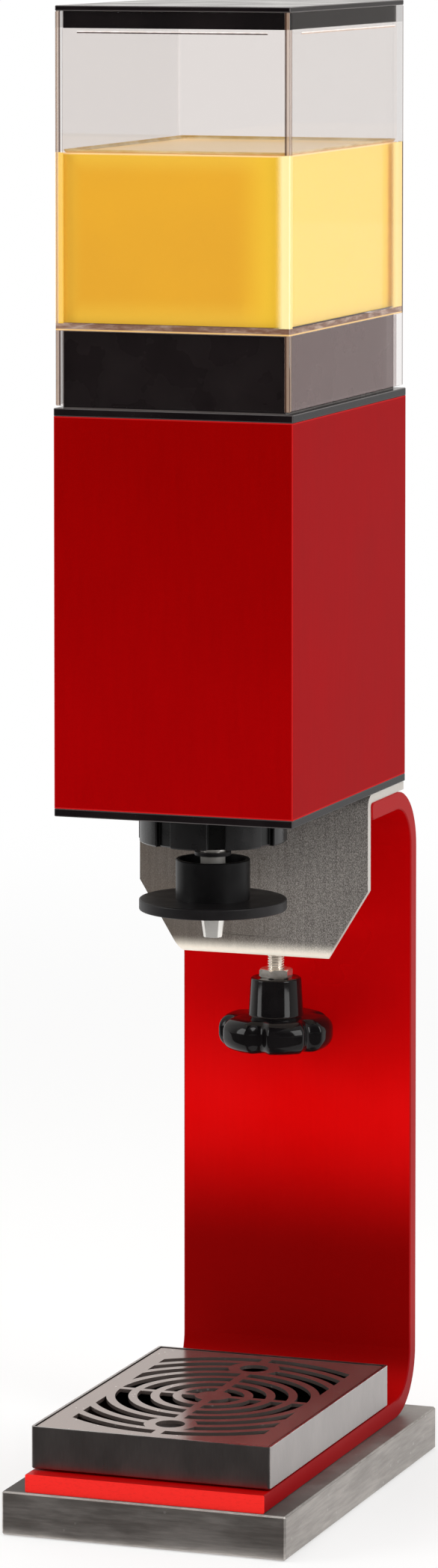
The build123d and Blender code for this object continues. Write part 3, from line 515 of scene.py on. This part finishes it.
def barFinish():
    look = barRed
    low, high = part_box("stand_bar")
    shader = newShader("deepRedBar")
    spot = shader.spot()
    cloud = shader.noise(spot, look["cloud"]).ramp(*look["cloudSpan"])
    grain = shader.noise(spot, look["grain"], look["grainStretch"], *look["grainNoise"])
    level = shader.axis(spot, "Z")
    colour = shader.mix(cloud, look["deep"], look["warm"])
    # painted shade higher up, where the housing shades the bar
    colour = shader.mix(level.ramp(*look["highShadeSpan"]), colour, look["high"])
    # painted dark reflection of the tray and floor low down
    colour = shader.mix(level.fall(*look["lowShadeSpan"]) * look["lowShadeShare"], colour, look["low"])
    # painted light on the bend at the foot
    colour = shader.mix(level.fall(*look["litBendSpan"]), colour, look["litBend"])
    colour = shader.tone(colour, 1 + (grain - 0.5) * look["grainTone"])
    flank = abs(shader.axis(spot, "X")).ramp(*(high.x - inset for inset in look["flankEdge"]))
    front = shader.axis(spot, "Y").fall(*(low.y + inset for inset in look["frontEdge"]))
    lines = shader.noise(spot, look["lines"], look["linesStretch"], look["linesDetail"])
    lines = lines.ramp(*look["linesSpan"])
    sawn = shader.tone(look["sawn"], within(look["linesTone"], lines))
    # painted shadow of the tray low on the sides
    side = shader.mix(level.ramp(*look["sideSpan"]), look["foot"], look["side"])
    colour = shader.mix(flank, colour, side)
    colour = shader.mix(front, colour, sawn)
    rough = within(look["rough"], cloud) + front * look["sawnRough"]
    metal = look["metal"] * (1 - front.most(flank))
    return shader.show(shader.close(colour, rough, grain, look["depth"], metal=metal,
                                    specular=look["specular"]))


# Housing: deep red, a little lighter down its front with painted shade at the top, a painted sheen on its
# sides, and a painted highlight along the edges at the corners
shellRed = {
    "top": (0.260, 0.0003, 0.0003), "low": (0.318, 0.0003, 0.0010),
    "side": (0.298, 0.0025, 0.0045), "sideEdge": (0.0012, 0.0004),
    "edge": (0.62, 0.02, 0.02), "edgeWidth": 0.0009, "edgeHighlightShare": 0.6,
    "cloud": 12.0, "cloudDetail": 4.0, "cloudTone": 0.18,
    "grain": 320.0, "grainStretch": (1.0, 1.0, 0.10), "grainNoise": (3.0, 0.6), "grainTone": 0.14,
    "rough": (0.30, 0.40), "depth": 0.000012, "grainBump": 0.3, "specular": 0.006,
}


def shellFinish():
    look = shellRed
    low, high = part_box("housing_shell")
    shader = newShader("deepRedShell")
    spot = shader.spot()
    down = shader.axis(spot, "Z").fall(low.z, high.z)
    cloud = shader.noise(spot, look["cloud"], detail=look["cloudDetail"])
    grain = shader.noise(spot, look["grain"], look["grainStretch"], *look["grainNoise"])
    # painted shade: darker at the top, lighter down the front
    colour = shader.mix(down, look["top"], look["low"])
    # painted sheen: the sides are a paler lit copy of the red
    flank = abs(shader.axis(spot, "X")).ramp(*(high.x - inset for inset in look["sideEdge"]))
    colour = shader.mix(flank, colour, look["side"])
    colour = shader.tone(colour, 1 + (cloud - 0.5) * look["cloudTone"] + (grain - 0.5) * look["grainTone"])
    # painted highlight along the edges
    rim = shader.edges(spot, low, high, look["edgeWidth"])
    colour = shader.mix(rim * look["edgeHighlightShare"], colour, look["edge"])
    return shader.show(shader.close(colour, within(look["rough"], cloud), cloud + grain * look["grainBump"],
                                    look["depth"], specular=look["specular"]))


# Blacks: moulded and polished plastic, rubber. The valve's pale plastics are made in the same way
blackWork = {
    "cloudDetail": 4.0, "cloudSpan": (0.3, 0.7), "grainDetail": 2.0,
    "speckSize": 0.14, "speckShare": 0.6, "edgeHighlightShare": 0.8, "grooveEdge": (0.0016, 0.0006),
}
knobBlack = {
    "dark": (0.004, 0.0034, 0.0037), "light": (0.007, 0.006, 0.0065),
    "cloud": 60.0, "grain": 400.0, "depth": 0.000006,
    "rough": (0.07, 0.11), "specular": 0.2,
}
ringBlack = {
    "dark": (0.007, 0.0065, 0.007), "light": (0.012, 0.0115, 0.012),
    "cloud": 70.0, "grain": 700.0, "grainStretch": (1.0, 1.0, 0.2), "depth": 0.000005,
    "rough": (0.22, 0.32), "specular": 0.4, "groove": (0.0015, 0.0015, 0.0015),
}
discBlack = {
    "dark": (0.009, 0.008, 0.0085), "light": (0.016, 0.0145, 0.0155),
    "cloud": 55.0, "grain": 1400.0, "grainStretch": (1.0, 1.0, 0.4), "depth": 0.00001,
    "rough": (0.34, 0.46), "specular": 0.18,
    "specks": 620.0, "speckColour": (0.035, 0.035, 0.037),
}
hubBlack = dict(discBlack, dark=(0.004, 0.0038, 0.004), light=(0.0085, 0.008, 0.0085), specular=0.12)
plateBlack = {
    "dark": (0.0055, 0.004, 0.0045), "light": (0.010, 0.0075, 0.008),
    "cloud": 30.0, "grain": 500.0, "depth": 0.000003,
    "rough": (0.10, 0.18), "specular": 0.06,
    "specks": 520.0, "speckColour": (0.045, 0.042, 0.042),
    "edge": 0.0007, "edgeHighlightColour": (0.11, 0.10, 0.10),
}
plinthBlack = {
    "dark": (0.009, 0.006, 0.007), "light": (0.0135, 0.0095, 0.0105),
    "cloud": 38.0, "grain": 420.0, "depth": 0.000002,
    "rough": (0.20, 0.36), "specular": 0.16,
    "edge": 0.0007, "edgeHighlightColour": (0.20, 0.18, 0.17),
}
padRubber = {
    "dark": (0.018, 0.018, 0.018), "light": (0.032, 0.031, 0.030),
    "cloud": 120.0, "grain": 1800.0, "depth": 0.00003,
    "rough": (0.62, 0.80), "specular": 0.3,
}
valvePlastic = {
    "dark": (0.58, 0.56, 0.52), "light": (0.70, 0.68, 0.64),
    "cloud": 60.0, "grain": 900.0, "depth": 0.00001,
    "rough": (0.30, 0.42), "specular": 0.5,
}
tubeSilicone = {
    "dark": (0.66, 0.65, 0.62), "light": (0.76, 0.75, 0.72),
    "cloud": 80.0, "grain": 1200.0, "depth": 0.00001,
    "rough": (0.26, 0.40), "specular": 0.4,
}


def mouldedFinish(name, look, box=None):
    work = blackWork
    shader = newShader(name)
    spot = shader.spot()
    cloud = shader.noise(spot, look["cloud"], detail=work["cloudDetail"]).ramp(*work["cloudSpan"])
    grain = shader.noise(spot, look["grain"], look.get("grainStretch", even), work["grainDetail"])
    colour = shader.mix(cloud, look["dark"], look["light"])
    if "specks" in look:
        dots = shader.specks(spot, look["specks"], work["speckSize"])
        colour = shader.mix(dots * work["speckShare"], colour, look["speckColour"])
    # painted highlight along the box's edges
    if box and "edge" in look:
        rim = shader.edges(spot, box[0], box[1], look["edge"])
        colour = shader.mix(rim * work["edgeHighlightShare"], colour, look["edgeHighlightColour"])
    if box and "groove" in look:  # painted shade in the grooves between the lobes
        middle = (box[0] + box[1]) / 2
        outward = shader.away((spot - tuple(middle)) * (1.0, 1.0, 0.0))
        sunk = outward.fall(*(box[1].x - inset for inset in work["grooveEdge"]))
        colour = shader.mix(sunk, colour, look["groove"])
    return shader.show(shader.close(colour, within(look["rough"], cloud), grain, look["depth"],
                                    specular=look["specular"]))


# Tank: clear sheet, brown where its front joints are looked into; the drink's, plinth's and plug's colours
# painted on as refraction where those lie against its corners and sides, with painted shade above the drink
# and a painted highlight line at the floor
clearSheet = {
    "tint": (0.958, 0.943, 0.936), "rough": 0.02, "mirror": (0.03, 0.40), "mirrorPower": 5.0,
    "grazing": 0.5, "faceColour": (0.60, 0.56, 0.54), "faceCover": 0.010, "faceRough": 0.25,
    "smear": 35.0, "smearStretch": (1.0, 1.0, 0.5), "smearDetail": 4.0,
    "smearSpan": (0.45, 0.75), "smearCover": 0.010,
    "joint": (0.075, 0.035, 0.022), "jointPale": (0.46, 0.31, 0.22), "jointCover": (0.10, 0.92),
    "lineCover": (0.8, 1.0),
    "floorBand": (0.23, 0.115, 0.075), "floorPale": (0.52, 0.37, 0.29), "floorCover": 0.90,
    "swirl": 60.0, "swirlStretch": (1.0, 1.0, 4.5), "swirlNoise": (4.0, 0.65), "swirlSpan": (0.40, 0.72),
    "floorHighlightLine": (0.95, 0.60, 0.24), "floorLineCover": 0.8,
    "drinkCorner": (1.0, 0.86, 0.42), "drinkSide": (1.0, 0.70, 0.27), "drinkLeft": (0.93, 0.56, 0.07),
    "drinkCover": 0.95, "drinkFill": (0.0, 0.03),
    "sideAirShade": (0.10, 0.07, 0.062), "airCover": 0.36, "airFlankCover": 0.1,
    "sidePlinth": (0.175, 0.096, 0.092), "plinthCover": 0.7,
    "sidePlug": (0.006, 0.005, 0.005), "plugCover": 0.6, "plugDull": 0.8,
    "backEdgeCover": 0.7,
}
# Where the sheet's zones begin and end, each measured from the edge or level it belongs to
clearZones = {
    "skin": (0.0002, 0.0004), "joint": (0.0030, 0.0034), "jointRim": (0.0003, 0.0006),
    "jointCore": (0.0018, 0.0023), "frontInset": 0.01, "clearLeft": (0.0016, 0.0020),
    "flank": (0.0118, 0.0122), "fillBack": (0.0150, 0.0260), "fillFront": (0.0038, 0.0046),
    "fillRight": (0.0040, 0.0100), "fillLeft": (0.0046, 0.0052), "backEdge": (0.0020, 0.0028),
    "middle": (-0.001, 0.001), "drinkFoot": 0.0003, "soft": 0.0004, "sharp": 0.0002,
    "floorHighlightLine": 0.0006, "floorLineHalf": (0.0002, 0.0006),
}


def clearFinish():
    look, zone = clearSheet, clearZones
    soft, sharp = zone["soft"], zone["sharp"]
    low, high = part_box("tank")
    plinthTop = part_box("plinth")[1].z
    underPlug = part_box("lid_plug")[0].z
    drinkLow, drinkHigh = (corner.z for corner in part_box("drink_fill"))
    shader = newShader("clearTankSheet")
    spot = shader.spot()
    across, along, level = (shader.axis(spot, letter) for letter in "XYZ")
    fromLeft, fromRight, fromSide = across - low.x, high.x - across, high.x - abs(across)
    fromFront, fromBack = along - low.y, high.y - along
    smear = shader.noise(spot, look["smear"], look["smearStretch"], look["smearDetail"])
    smear = smear.ramp(*look["smearSpan"])

    # the joints, and which way they are seen
    gap = fromSide.most(fromFront.least(fromBack))
    strip = gap.fall(*zone["joint"])
    line = strip * gap.fall(*zone["jointRim"]).most(gap.ramp(*zone["jointCore"]))
    front = along.fall(low.y + zone["frontInset"], high.y - zone["frontInset"])
    plain = 1 - strip
    side = fromSide.fall(*zone["skin"])
    face = fromFront.fall(*zone["skin"])
    flank = side * fromBack.fall(*zone["flank"])
    rightward = across.ramp(*zone["middle"])
    backEdge = side * fromBack.fall(*zone["backEdge"]) * rightward

    # levels: floor, plinth, drink, air and plug
    inDrink = level.ramp(drinkLow - zone["drinkFoot"], drinkLow) * level.fall(drinkHigh, drinkHigh + soft)
    atPlug = level.ramp(underPlug - sharp, underPlug + sharp) * side
    # painted shade on the side sheet above the drink
    inAir = level.ramp(drinkHigh, drinkHigh + soft) * side * (1 - atPlug)
    atPlinth = level.fall(plinthTop - soft, plinthTop) * side * (1 - flank)
    # painted refraction: the floor sheet seen edge-on, marbled brown
    band = level.ramp(plinthTop - sharp, plinthTop + sharp) * level.fall(drinkLow - sharp, drinkLow)
    # painted highlight: a bright line just above the plinth's top
    bright = abs(level - plinthTop - zone["floorHighlightLine"]).fall(*zone["floorLineHalf"])

    # painted refraction: where the drink's colour is painted on the corners and sides, as the thick walls
    # would show it
    clearLeft = across.fall(*(low.x + inset for inset in zone["clearLeft"])) * front
    jointDrinkImage = strip * inDrink * (1 - clearLeft)
    sideFill = fromBack.fall(*zone["fillBack"]).most(fromFront.fall(*zone["fillFront"])) * side * inDrink
    rightFill = fromRight.fall(*zone["fillRight"]) * face * inDrink
    leftFill = fromLeft.fall(*zone["fillLeft"]) * fromLeft.ramp(*zone["clearLeft"]) * face * inDrink

    swirl = shader.noise(spot, look["swirl"], look["swirlStretch"], *look["swirlNoise"])
    swirl = swirl.ramp(*look["swirlSpan"])
    colour = shader.mix(strip, look["faceColour"], shader.mix(line, look["jointPale"], look["joint"]))
    colour = shader.mix(band, colour, shader.mix(swirl, look["floorBand"], look["floorPale"]))
    colour = shader.mix(bright, colour, look["floorHighlightLine"])
    colour = shader.mix(jointDrinkImage, colour, look["drinkCorner"])
    for fill, tint in ((sideFill, "drinkSide"), (leftFill, "drinkLeft"), (rightFill, "drinkCorner")):
        colour = shader.mix(fill.ramp(*look["drinkFill"]), colour, look[tint])
    # painted shade on the sides above the drink, and the plinth's and plug's colours painted on the sides
    # as refraction
    for place, tint in ((inAir * plain, "sideAirShade"), (atPlinth * plain, "sidePlinth"),
                        (atPlug, "sidePlug"), (backEdge, "joint")):
        colour = shader.mix(place, colour, look[tint])

    cover = strip * within(look["lineCover"], line) * within(look["jointCover"], front)
    cover = look["faceCover"] + smear * look["smearCover"] + cover
    drinkCovers = sideFill.most(leftFill).most(rightFill)
    for place in (band * look["floorCover"], bright * look["floorLineCover"],
                  jointDrinkImage * look["drinkCover"], drinkCovers * look["drinkCover"],
                  inAir * (look["airCover"] + flank * rightward * look["airFlankCover"]),
                  atPlinth * look["plinthCover"], atPlug * look["plugCover"],
                  backEdge * look["backEdgeCover"]):
        cover = cover.most(place)
    sheet = shader.close(colour, look["faceRough"], alpha=cover, specular=0.0)
    clear = shader.add("ShaderNodeBsdfTransparent", {}, {"Color": rgba(look["tint"])})
    gloss = shader.add("ShaderNodeBsdfGlossy", {}, {"Color": rgba(white), "Roughness": look["rough"]})
    grazing = shader.add("ShaderNodeLayerWeight", {}, {"Blend": look["grazing"]}, "Facing")
    mirror = look["mirror"][0] + look["mirror"][1] * grazing ** look["mirrorPower"]
    mirror = mirror * (1 - atPlug * look["plugDull"])
    return shader.show(shader.join(mirror, shader.join(cover, clear, sheet), gloss))


# Drink: amber, with painted light: paler at its rims, lighter to the right and palest down the upright
# corner on the right, a paler lit side, a painted reflection on its top and a faint painted glow
drinkLook = {
    "front": (0.90, 0.49, 0.037), "deep": (0.85, 0.455, 0.038),
    "cloud": 10.0, "cloudDetail": 2.0, "cloudSpan": (0.3, 0.7),
    "rim": (0.95, 0.62, 0.07), "rimWidth": 0.013, "rimFoot": 0.8, "rimShare": 0.75,
    "right": (1.0, 0.66, 0.055), "rightSpan": (0.52, 0.92),
    "pale": (1.0, 0.87, 0.40), "paleSpan": (0.00216, 0.0036), "paleSide": (0.0, 0.01),
    "side": (1.0, 0.72, 0.13), "sideSpan": (0.0003, 0.0006),
    "surface": (1.0, 0.72, 0.38), "surfaceSpan": (0.0012, 0.0004), "surfaceShare": 0.85,
    "rough": (0.14, 0.20), "depth": 0.00002, "specular": 0.03, "glow": 0.12, "surfaceGlow": 1.3,
}


def drinkFinish():
    look = drinkLook
    low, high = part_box("drink_fill")
    shader = newShader("amberDrink")
    spot = shader.spot()
    across, level = shader.axis(spot, "X"), shader.axis(spot, "Z")
    cloud = shader.noise(spot, look["cloud"], detail=look["cloudDetail"])
    gap = high.x - abs(across)
    colour = shader.mix(cloud.ramp(*look["cloudSpan"]), look["front"], look["deep"])
    # painted light: paler near the rims
    inward = gap.least(high.z - level).least((level - low.z) * look["rimFoot"])
    colour = shader.mix(inward.fall(0.0, look["rimWidth"]) * look["rimShare"], colour, look["rim"])
    # painted light: lighter towards the right, where the light comes from
    right = across.ramp(*(high.x * share for share in look["rightSpan"]))
    colour = shader.mix(right, colour, look["right"])
    # painted light: palest down the upright corner on the right
    pale = gap.fall(*look["paleSpan"]) * across.ramp(*look["paleSide"])
    colour = shader.mix(pale, colour, look["pale"])
    # painted light: the side faces a paler lit copy of the amber
    colour = shader.mix(gap.fall(*look["sideSpan"]), colour, look["side"])
    # painted reflection on the top surface
    top = level.ramp(*(high.z - drop for drop in look["surfaceSpan"]))
    colour = shader.mix(top * look["surfaceShare"], colour, look["surface"])
    # painted glow through Emission, stronger on the top
    glow = shader.tone(colour, 1 + top * look["surfaceGlow"])
    return shader.show(shader.close(colour, within(look["rough"], cloud), cloud, look["depth"],
                                    specular=look["specular"], glow=glow, glowStrength=look["glow"]))


finishes = {
    "base_steel": steelFinish("mottledBaseSteel", baseSteel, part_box("base_plate")),
    "red_paint": barFinish(),
    "rubber": mouldedFinish("blackRubber", padRubber),
    "bright_steel": steelFinish("brightSteel", brightSteel),
    "tray_black": steelFinish("darkTraySteel", traySteel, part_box("drip_tray")),
    "grille_steel": steelFinish("polishedGrille", grilleSteel),
    "clamp_steel": clampFinish(),
    "knob_black": mouldedFinish("polishedKnob", knobBlack),
    "ring_black": mouldedFinish("turnedRingBlack", ringBlack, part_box("ring_nut")),
    "plate_black": mouldedFinish("polishedPlate", plateBlack),
    "plinth_black": mouldedFinish("satinPlinth", plinthBlack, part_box("plinth")),
    "clear_acrylic": clearFinish(),
    "drink": drinkFinish(),
    "valve_plastic": mouldedFinish("paleValvePlastic", valvePlastic),
    "valve_steel": steelFinish("polishedValveSteel", valveSteel),
    "tube_silicone": mouldedFinish("milkyTube", tubeSilicone),
    "disc_black": mouldedFinish("satinDiscBlack", discBlack),
    "nozzle_chrome": steelFinish("polishedNozzle", nozzleSteel),
}
ownFinishes = {
    "bottom_plate": mouldedFinish("polishedBottomPlate", plateBlack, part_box("bottom_plate")),
    "top_plate": mouldedFinish("polishedTopPlate", plateBlack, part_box("top_plate")),
    "lid_plate": mouldedFinish("polishedLid", plateBlack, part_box("lid_plate")),
    "housing_shell": shellFinish(),
    "push_hub": mouldedFinish("satinHubBlack", hubBlack),
}


def dress(piece, material):
    if piece.data.materials:
        piece.data.materials[0] = material
    else:
        piece.data.materials.append(material)


for part in frame["record"]["subparts"]:
    dress(nodes[part["node"]], ownFinishes.get(part["node"], finishes[part["material_slot"]]))
print("finishes on", len(nodes), "nodes")


def takePlace(piece, node, slot, body):
    dress(piece, finishes[slot])
    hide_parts(node)
    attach(piece, body)


def middleOf(low, high):
    return (low.x + high.x) / 2, (low.y + high.y) / 2


def tubeFaces(rings, sides, flip=False):  # between rings of points, with a lid on each end
    faces = []
    last = (rings - 1) * sides
    for start in range(0, last, sides):
        for side in range(sides):
            after = (side + 1) % sides
            faces.append((start + side, start + after, start + sides + after, start + sides + side))
    faces.append(tuple(reversed(range(sides))))
    faces.append(tuple(range(last, last + sides)))
    return [face[:1] + face[:0:-1] for face in faces] if flip else faces


# Pieces turned about an upright axis: rows of (height, radius at each side), from the bottom up
def makeTurned(name, centre, rows, sides):
    points = []
    for z, radii in rows:
        for side, radius in enumerate(radii):
            angle = 2 * math.pi * side / sides
            points.append((centre[0] + radius * math.cos(angle), centre[1] + radius * math.sin(angle), z))
    return makeMesh(name, points, tubeFaces(len(rows), sides), smooth=True)


# Screw thread, where the clamp screw shows between its nut and the bracket
threadLook = {"pitch": 0.0015, "depth": 0.00085, "steepness": 1.35, "sides": 40, "rowsPerTurn": 8}


def makeThread():
    look = threadLook
    low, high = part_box("clamp_screw")
    radius = (high.x - low.x) / 2
    count = int((high.z - low.z) / look["pitch"] * look["rowsPerTurn"])
    rows = []
    for row in range(count + 1):
        z = low.z + (high.z - low.z) * row / count
        taper = min(1.0, (z - low.z) / look["pitch"], (high.z - z) / look["pitch"])
        radii = []
        for side in range(look["sides"]):
            phase = ((z - low.z) / look["pitch"] - side / look["sides"]) % 1.0
            crest = min(1.0, look["steepness"] * abs(2 * phase - 1))
            radii.append(radius - look["depth"] * (1 - crest * taper))
        rows.append((z, radii))
    thread = makeTurned("clampScrewThread", middleOf(low, high), rows, look["sides"])
    takePlace(thread, "clamp_screw", "bright_steel", "knob")


makeThread()
print("thread cut")


# Return spring inside the housing; the real spring shortens as the disc is pushed up, but this coil is made
# at its full length
spring = {"wire": 0.0016, "turns": 6, "stepsPerTurn": 36, "sides": 10}


def makeSpring():
    look = spring
    low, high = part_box("return_spring")
    half = look["wire"] / 2
    coil = (high.x - low.x) / 2 - half
    centreX, centreY = middleOf(low, high)
    count = look["turns"] * look["stepsPerTurn"]
    climb = high.z - low.z - look["wire"]
    points = []
    for step in range(count + 1):
        angle = 2 * math.pi * step / look["stepsPerTurn"]
        z = low.z + half + climb * step / count
        for side in range(look["sides"]):
            turn = 2 * math.pi * side / look["sides"]
            reach = coil + half * math.cos(turn)
            points.append((centreX + reach * math.cos(angle), centreY + reach * math.sin(angle),
                           z + half * math.sin(turn)))
    coiled = makeMesh("coiledSpring", points, tubeFaces(count + 1, look["sides"], flip=True), smooth=True)
    takePlace(coiled, "return_spring", "valve_steel", "head")
    tall = high.z - low.z
    travels = {joint["name"]: joint for joint in frame["record"]["behaviour"]["joints"]}
    push = travels["push_spindle"]["range_m"][1]
    (tall - push) / tall
    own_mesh(coiled)


makeSpring()
print("spring wound")


# Star knob: round lobes with valleys between them, and a tapered hub on top
knobLook = {
    "lobes": 6, "firstValley": -30.0, "valleyDepth": 0.0046, "valleyHalf": 0.0072, "valleyCurve": 1.6,
    "rimHeight": 0.0192, "rimRound": 0.0080, "hubFoot": 0.0158, "hubTop": 0.01465, "hubRound": 0.0012,
    "fillet": ((0.0, 0.0010), (0.0003, 0.0003), (0.0010, 0.0)),  # heights and widths at the hub's foot
    "bore": 0.00505, "boreFloor": 0.0057, "sides": 240, "roundSteps": 12, "hubSteps": 5,
}


def knobRims(look, radius):  # how far the rim reaches at each side
    pitch = 360.0 / look["lobes"]
    rims = []
    for side in range(look["sides"]):
        angle = 360.0 * side / look["sides"] - look["firstValley"]
        apart = (angle + pitch / 2) % pitch - pitch / 2
        away = min(1.0, abs(math.radians(apart)) * radius / look["valleyHalf"])
        rims.append(radius - look["valleyDepth"] * (1 - away * away) ** look["valleyCurve"])
    return rims


def makeKnob():
    look = knobLook
    low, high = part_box("clamp_knob")
    tall, lift = look["rimHeight"], look["rimRound"]
    rims = knobRims(look, (high.x - low.x) / 2)
    rows = []
    for step in range(2 * look["roundSteps"] + 1):
        turn = math.radians(-90 + 90 * step / look["roundSteps"])
        middle = lift if step < look["roundSteps"] else tall - lift
        if step == look["roundSteps"]:
            rows.append((low.z + lift, list(rims)))
        reaches = [rim - lift + lift * math.cos(turn) for rim in rims]
        rows.append((low.z + middle + lift * math.sin(turn), reaches))
    hubRows = [(tall + rise, look["hubFoot"] + width) for rise, width in look["fillet"]]
    top = high.z - low.z
    for step in range(look["hubSteps"] + 1):
        turn = math.radians(90 * step / look["hubSteps"])
        hubRows.append((top - look["hubRound"] * (1 - math.sin(turn)),
                        look["hubTop"] - look["hubRound"] * (1 - math.cos(turn))))
    hubRows += [(top, look["bore"]), (look["boreFloor"], look["bore"])]
    rows += [(low.z + z, [reach] * look["sides"]) for z, reach in hubRows]
    knob = makeTurned("starKnob", middleOf(low, high), rows, look["sides"])
    takePlace(knob, "clamp_knob", "knob_black", "knob")


makeKnob()
print("knob turned")


# Fill lines, cut across the tank's faces just under the lid: each a strip of painted shade for the groove,
# with a strip of painted highlight over it
fillLine = {
    "height": 0.0007, "shine": 0.8, "proud": 0.00008, "level": 0.8278, "frontReach": 0.0555,
    "sideFromFront": 0.0187, "sideFromBack": 0.0157, "bevel": 0.00002, "bevelSteps": 2, "slack": 1.01,
    "patchy": 300.0, "wornDetail": 2.0, "wornSpan": (0.35, 0.7), "rough": (0.35, 0.55), "depth": 0.00001,
    "shade": ((0.05, 0.032, 0.03), (0.13, 0.085, 0.075)),
    "pale": ((0.88, 0.78, 0.72), (0.97, 0.93, 0.90)),
    "brown": ((0.52, 0.38, 0.31), (0.66, 0.52, 0.44)),
}


def lineFinish(name, colours):
    look = fillLine
    shader = newShader(name)
    patchy = shader.noise(shader.spot(), look["patchy"], detail=look["wornDetail"]).ramp(*look["wornSpan"])
    colour = shader.mix(patchy, *colours)
    return shader.show(shader.close(colour, within(look["rough"], patchy), patchy, look["depth"]))


def makeStrip(name, low, high, material):
    look = fillLine
    made = bmesh.new()
    bmesh.ops.create_cube(made, size=1.0)
    for point in made.verts:
        point.co = [a + (b - a) * (c + 0.5) for a, b, c in zip(low, high, point.co)]
    short = [edge for edge in made.edges if edge.calc_length() < look["height"] * look["slack"]]
    bmesh.ops.bevel(made, geom=short, offset=look["bevel"], segments=look["bevelSteps"], affect="EDGES")
    mesh = bpy.data.meshes.new(name)
    made.to_mesh(mesh)
    made.free()
    strip = addObject(name, mesh)
    dress(strip, material)
    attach(strip, "tank")


def makeFillLines():
    look = fillLine
    low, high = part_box("tank")
    darkLine = lineFinish("fillLineShade", look["shade"])
    paleLine = lineFinish("fillLineShine", look["pale"])
    brownLine = lineFinish("fillLineBrown", look["brown"])
    level, tall, proud, reach = (look[key] for key in ("level", "height", "proud", "frontReach"))
    start, end = low.y + look["sideFromFront"], high.y - look["sideFromBack"]
    bands = (("Shade", level, level + tall, darkLine, brownLine),
             ("Shine", level + tall, level + (1 + look["shine"]) * tall, paleLine, paleLine))
    for word, bottom, top, frontFinish, sideFinish in bands:
        makeStrip("fillLineFront" + word, (-reach, low.y - proud, bottom), (reach, low.y + proud, top),
                  frontFinish)
        makeStrip("fillLineRight" + word, (high.x - proud, start, bottom), (high.x + proud, end, top),
                  sideFinish)


makeFillLines()
print("fill lines cut")


# Drink's edge, drawn up where it meets the tank's walls
meniscus = {
    "height": 0.0018, "lift": 0.00005, "steps": 6, "cornerSteps": 6, "cornerRadius": 0.002,
    "dark": (0.74, 0.50, 0.16), "light": (0.90, 0.74, 0.42), "cloud": 40.0, "cloudSpan": (0.35, 0.65),
    "rough": (0.12, 0.22), "depth": 0.00002,
}


def makeMeniscus():
    look = meniscus
    low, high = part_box("drink_fill")
    halfX, halfY = (high.x - low.x) / 2, (high.y - low.y) / 2
    centreY = (high.y + low.y) / 2
    radius, height = look["cornerRadius"], look["height"]
    path = []
    for quarter, (sideX, sideY) in enumerate(((1, 1), (-1, 1), (-1, -1), (1, -1))):
        for step in range(look["cornerSteps"] + 1):
            angle = math.radians(90 * (quarter + step / look["cornerSteps"]))
            path.append((sideX * (halfX - radius), sideY * (halfY - radius),
                         math.cos(angle), math.sin(angle)))
    points, faces = [], []
    for x, y, outX, outY in path:
        for step in range(look["steps"] + 1):
            turn = math.radians(90 * step / look["steps"])
            reach = radius - height + height * math.cos(turn)
            z = high.z + height * (1 - math.sin(turn)) + look["lift"]
            points.append((x + outX * reach, centreY + y + outY * reach, z))
    wide = look["steps"] + 1
    for index in range(len(path)):
        here, after = index * wide, (index + 1) % len(path) * wide
        for step in range(look["steps"]):
            faces.append((here + step, here + step + 1, after + step + 1, after + step))
    rim = makeMesh("drinkEdge", points, faces, smooth=True)
    shader = newShader("amberEdge")
    cloud = shader.noise(shader.spot(), look["cloud"]).ramp(*look["cloudSpan"])
    colour = shader.mix(cloud, look["dark"], look["light"])
    dress(rim, shader.show(shader.close(colour, within(look["rough"], cloud), cloud, look["depth"])))
    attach(rim, "tank")


makeMeniscus()
print("drink's edge made")
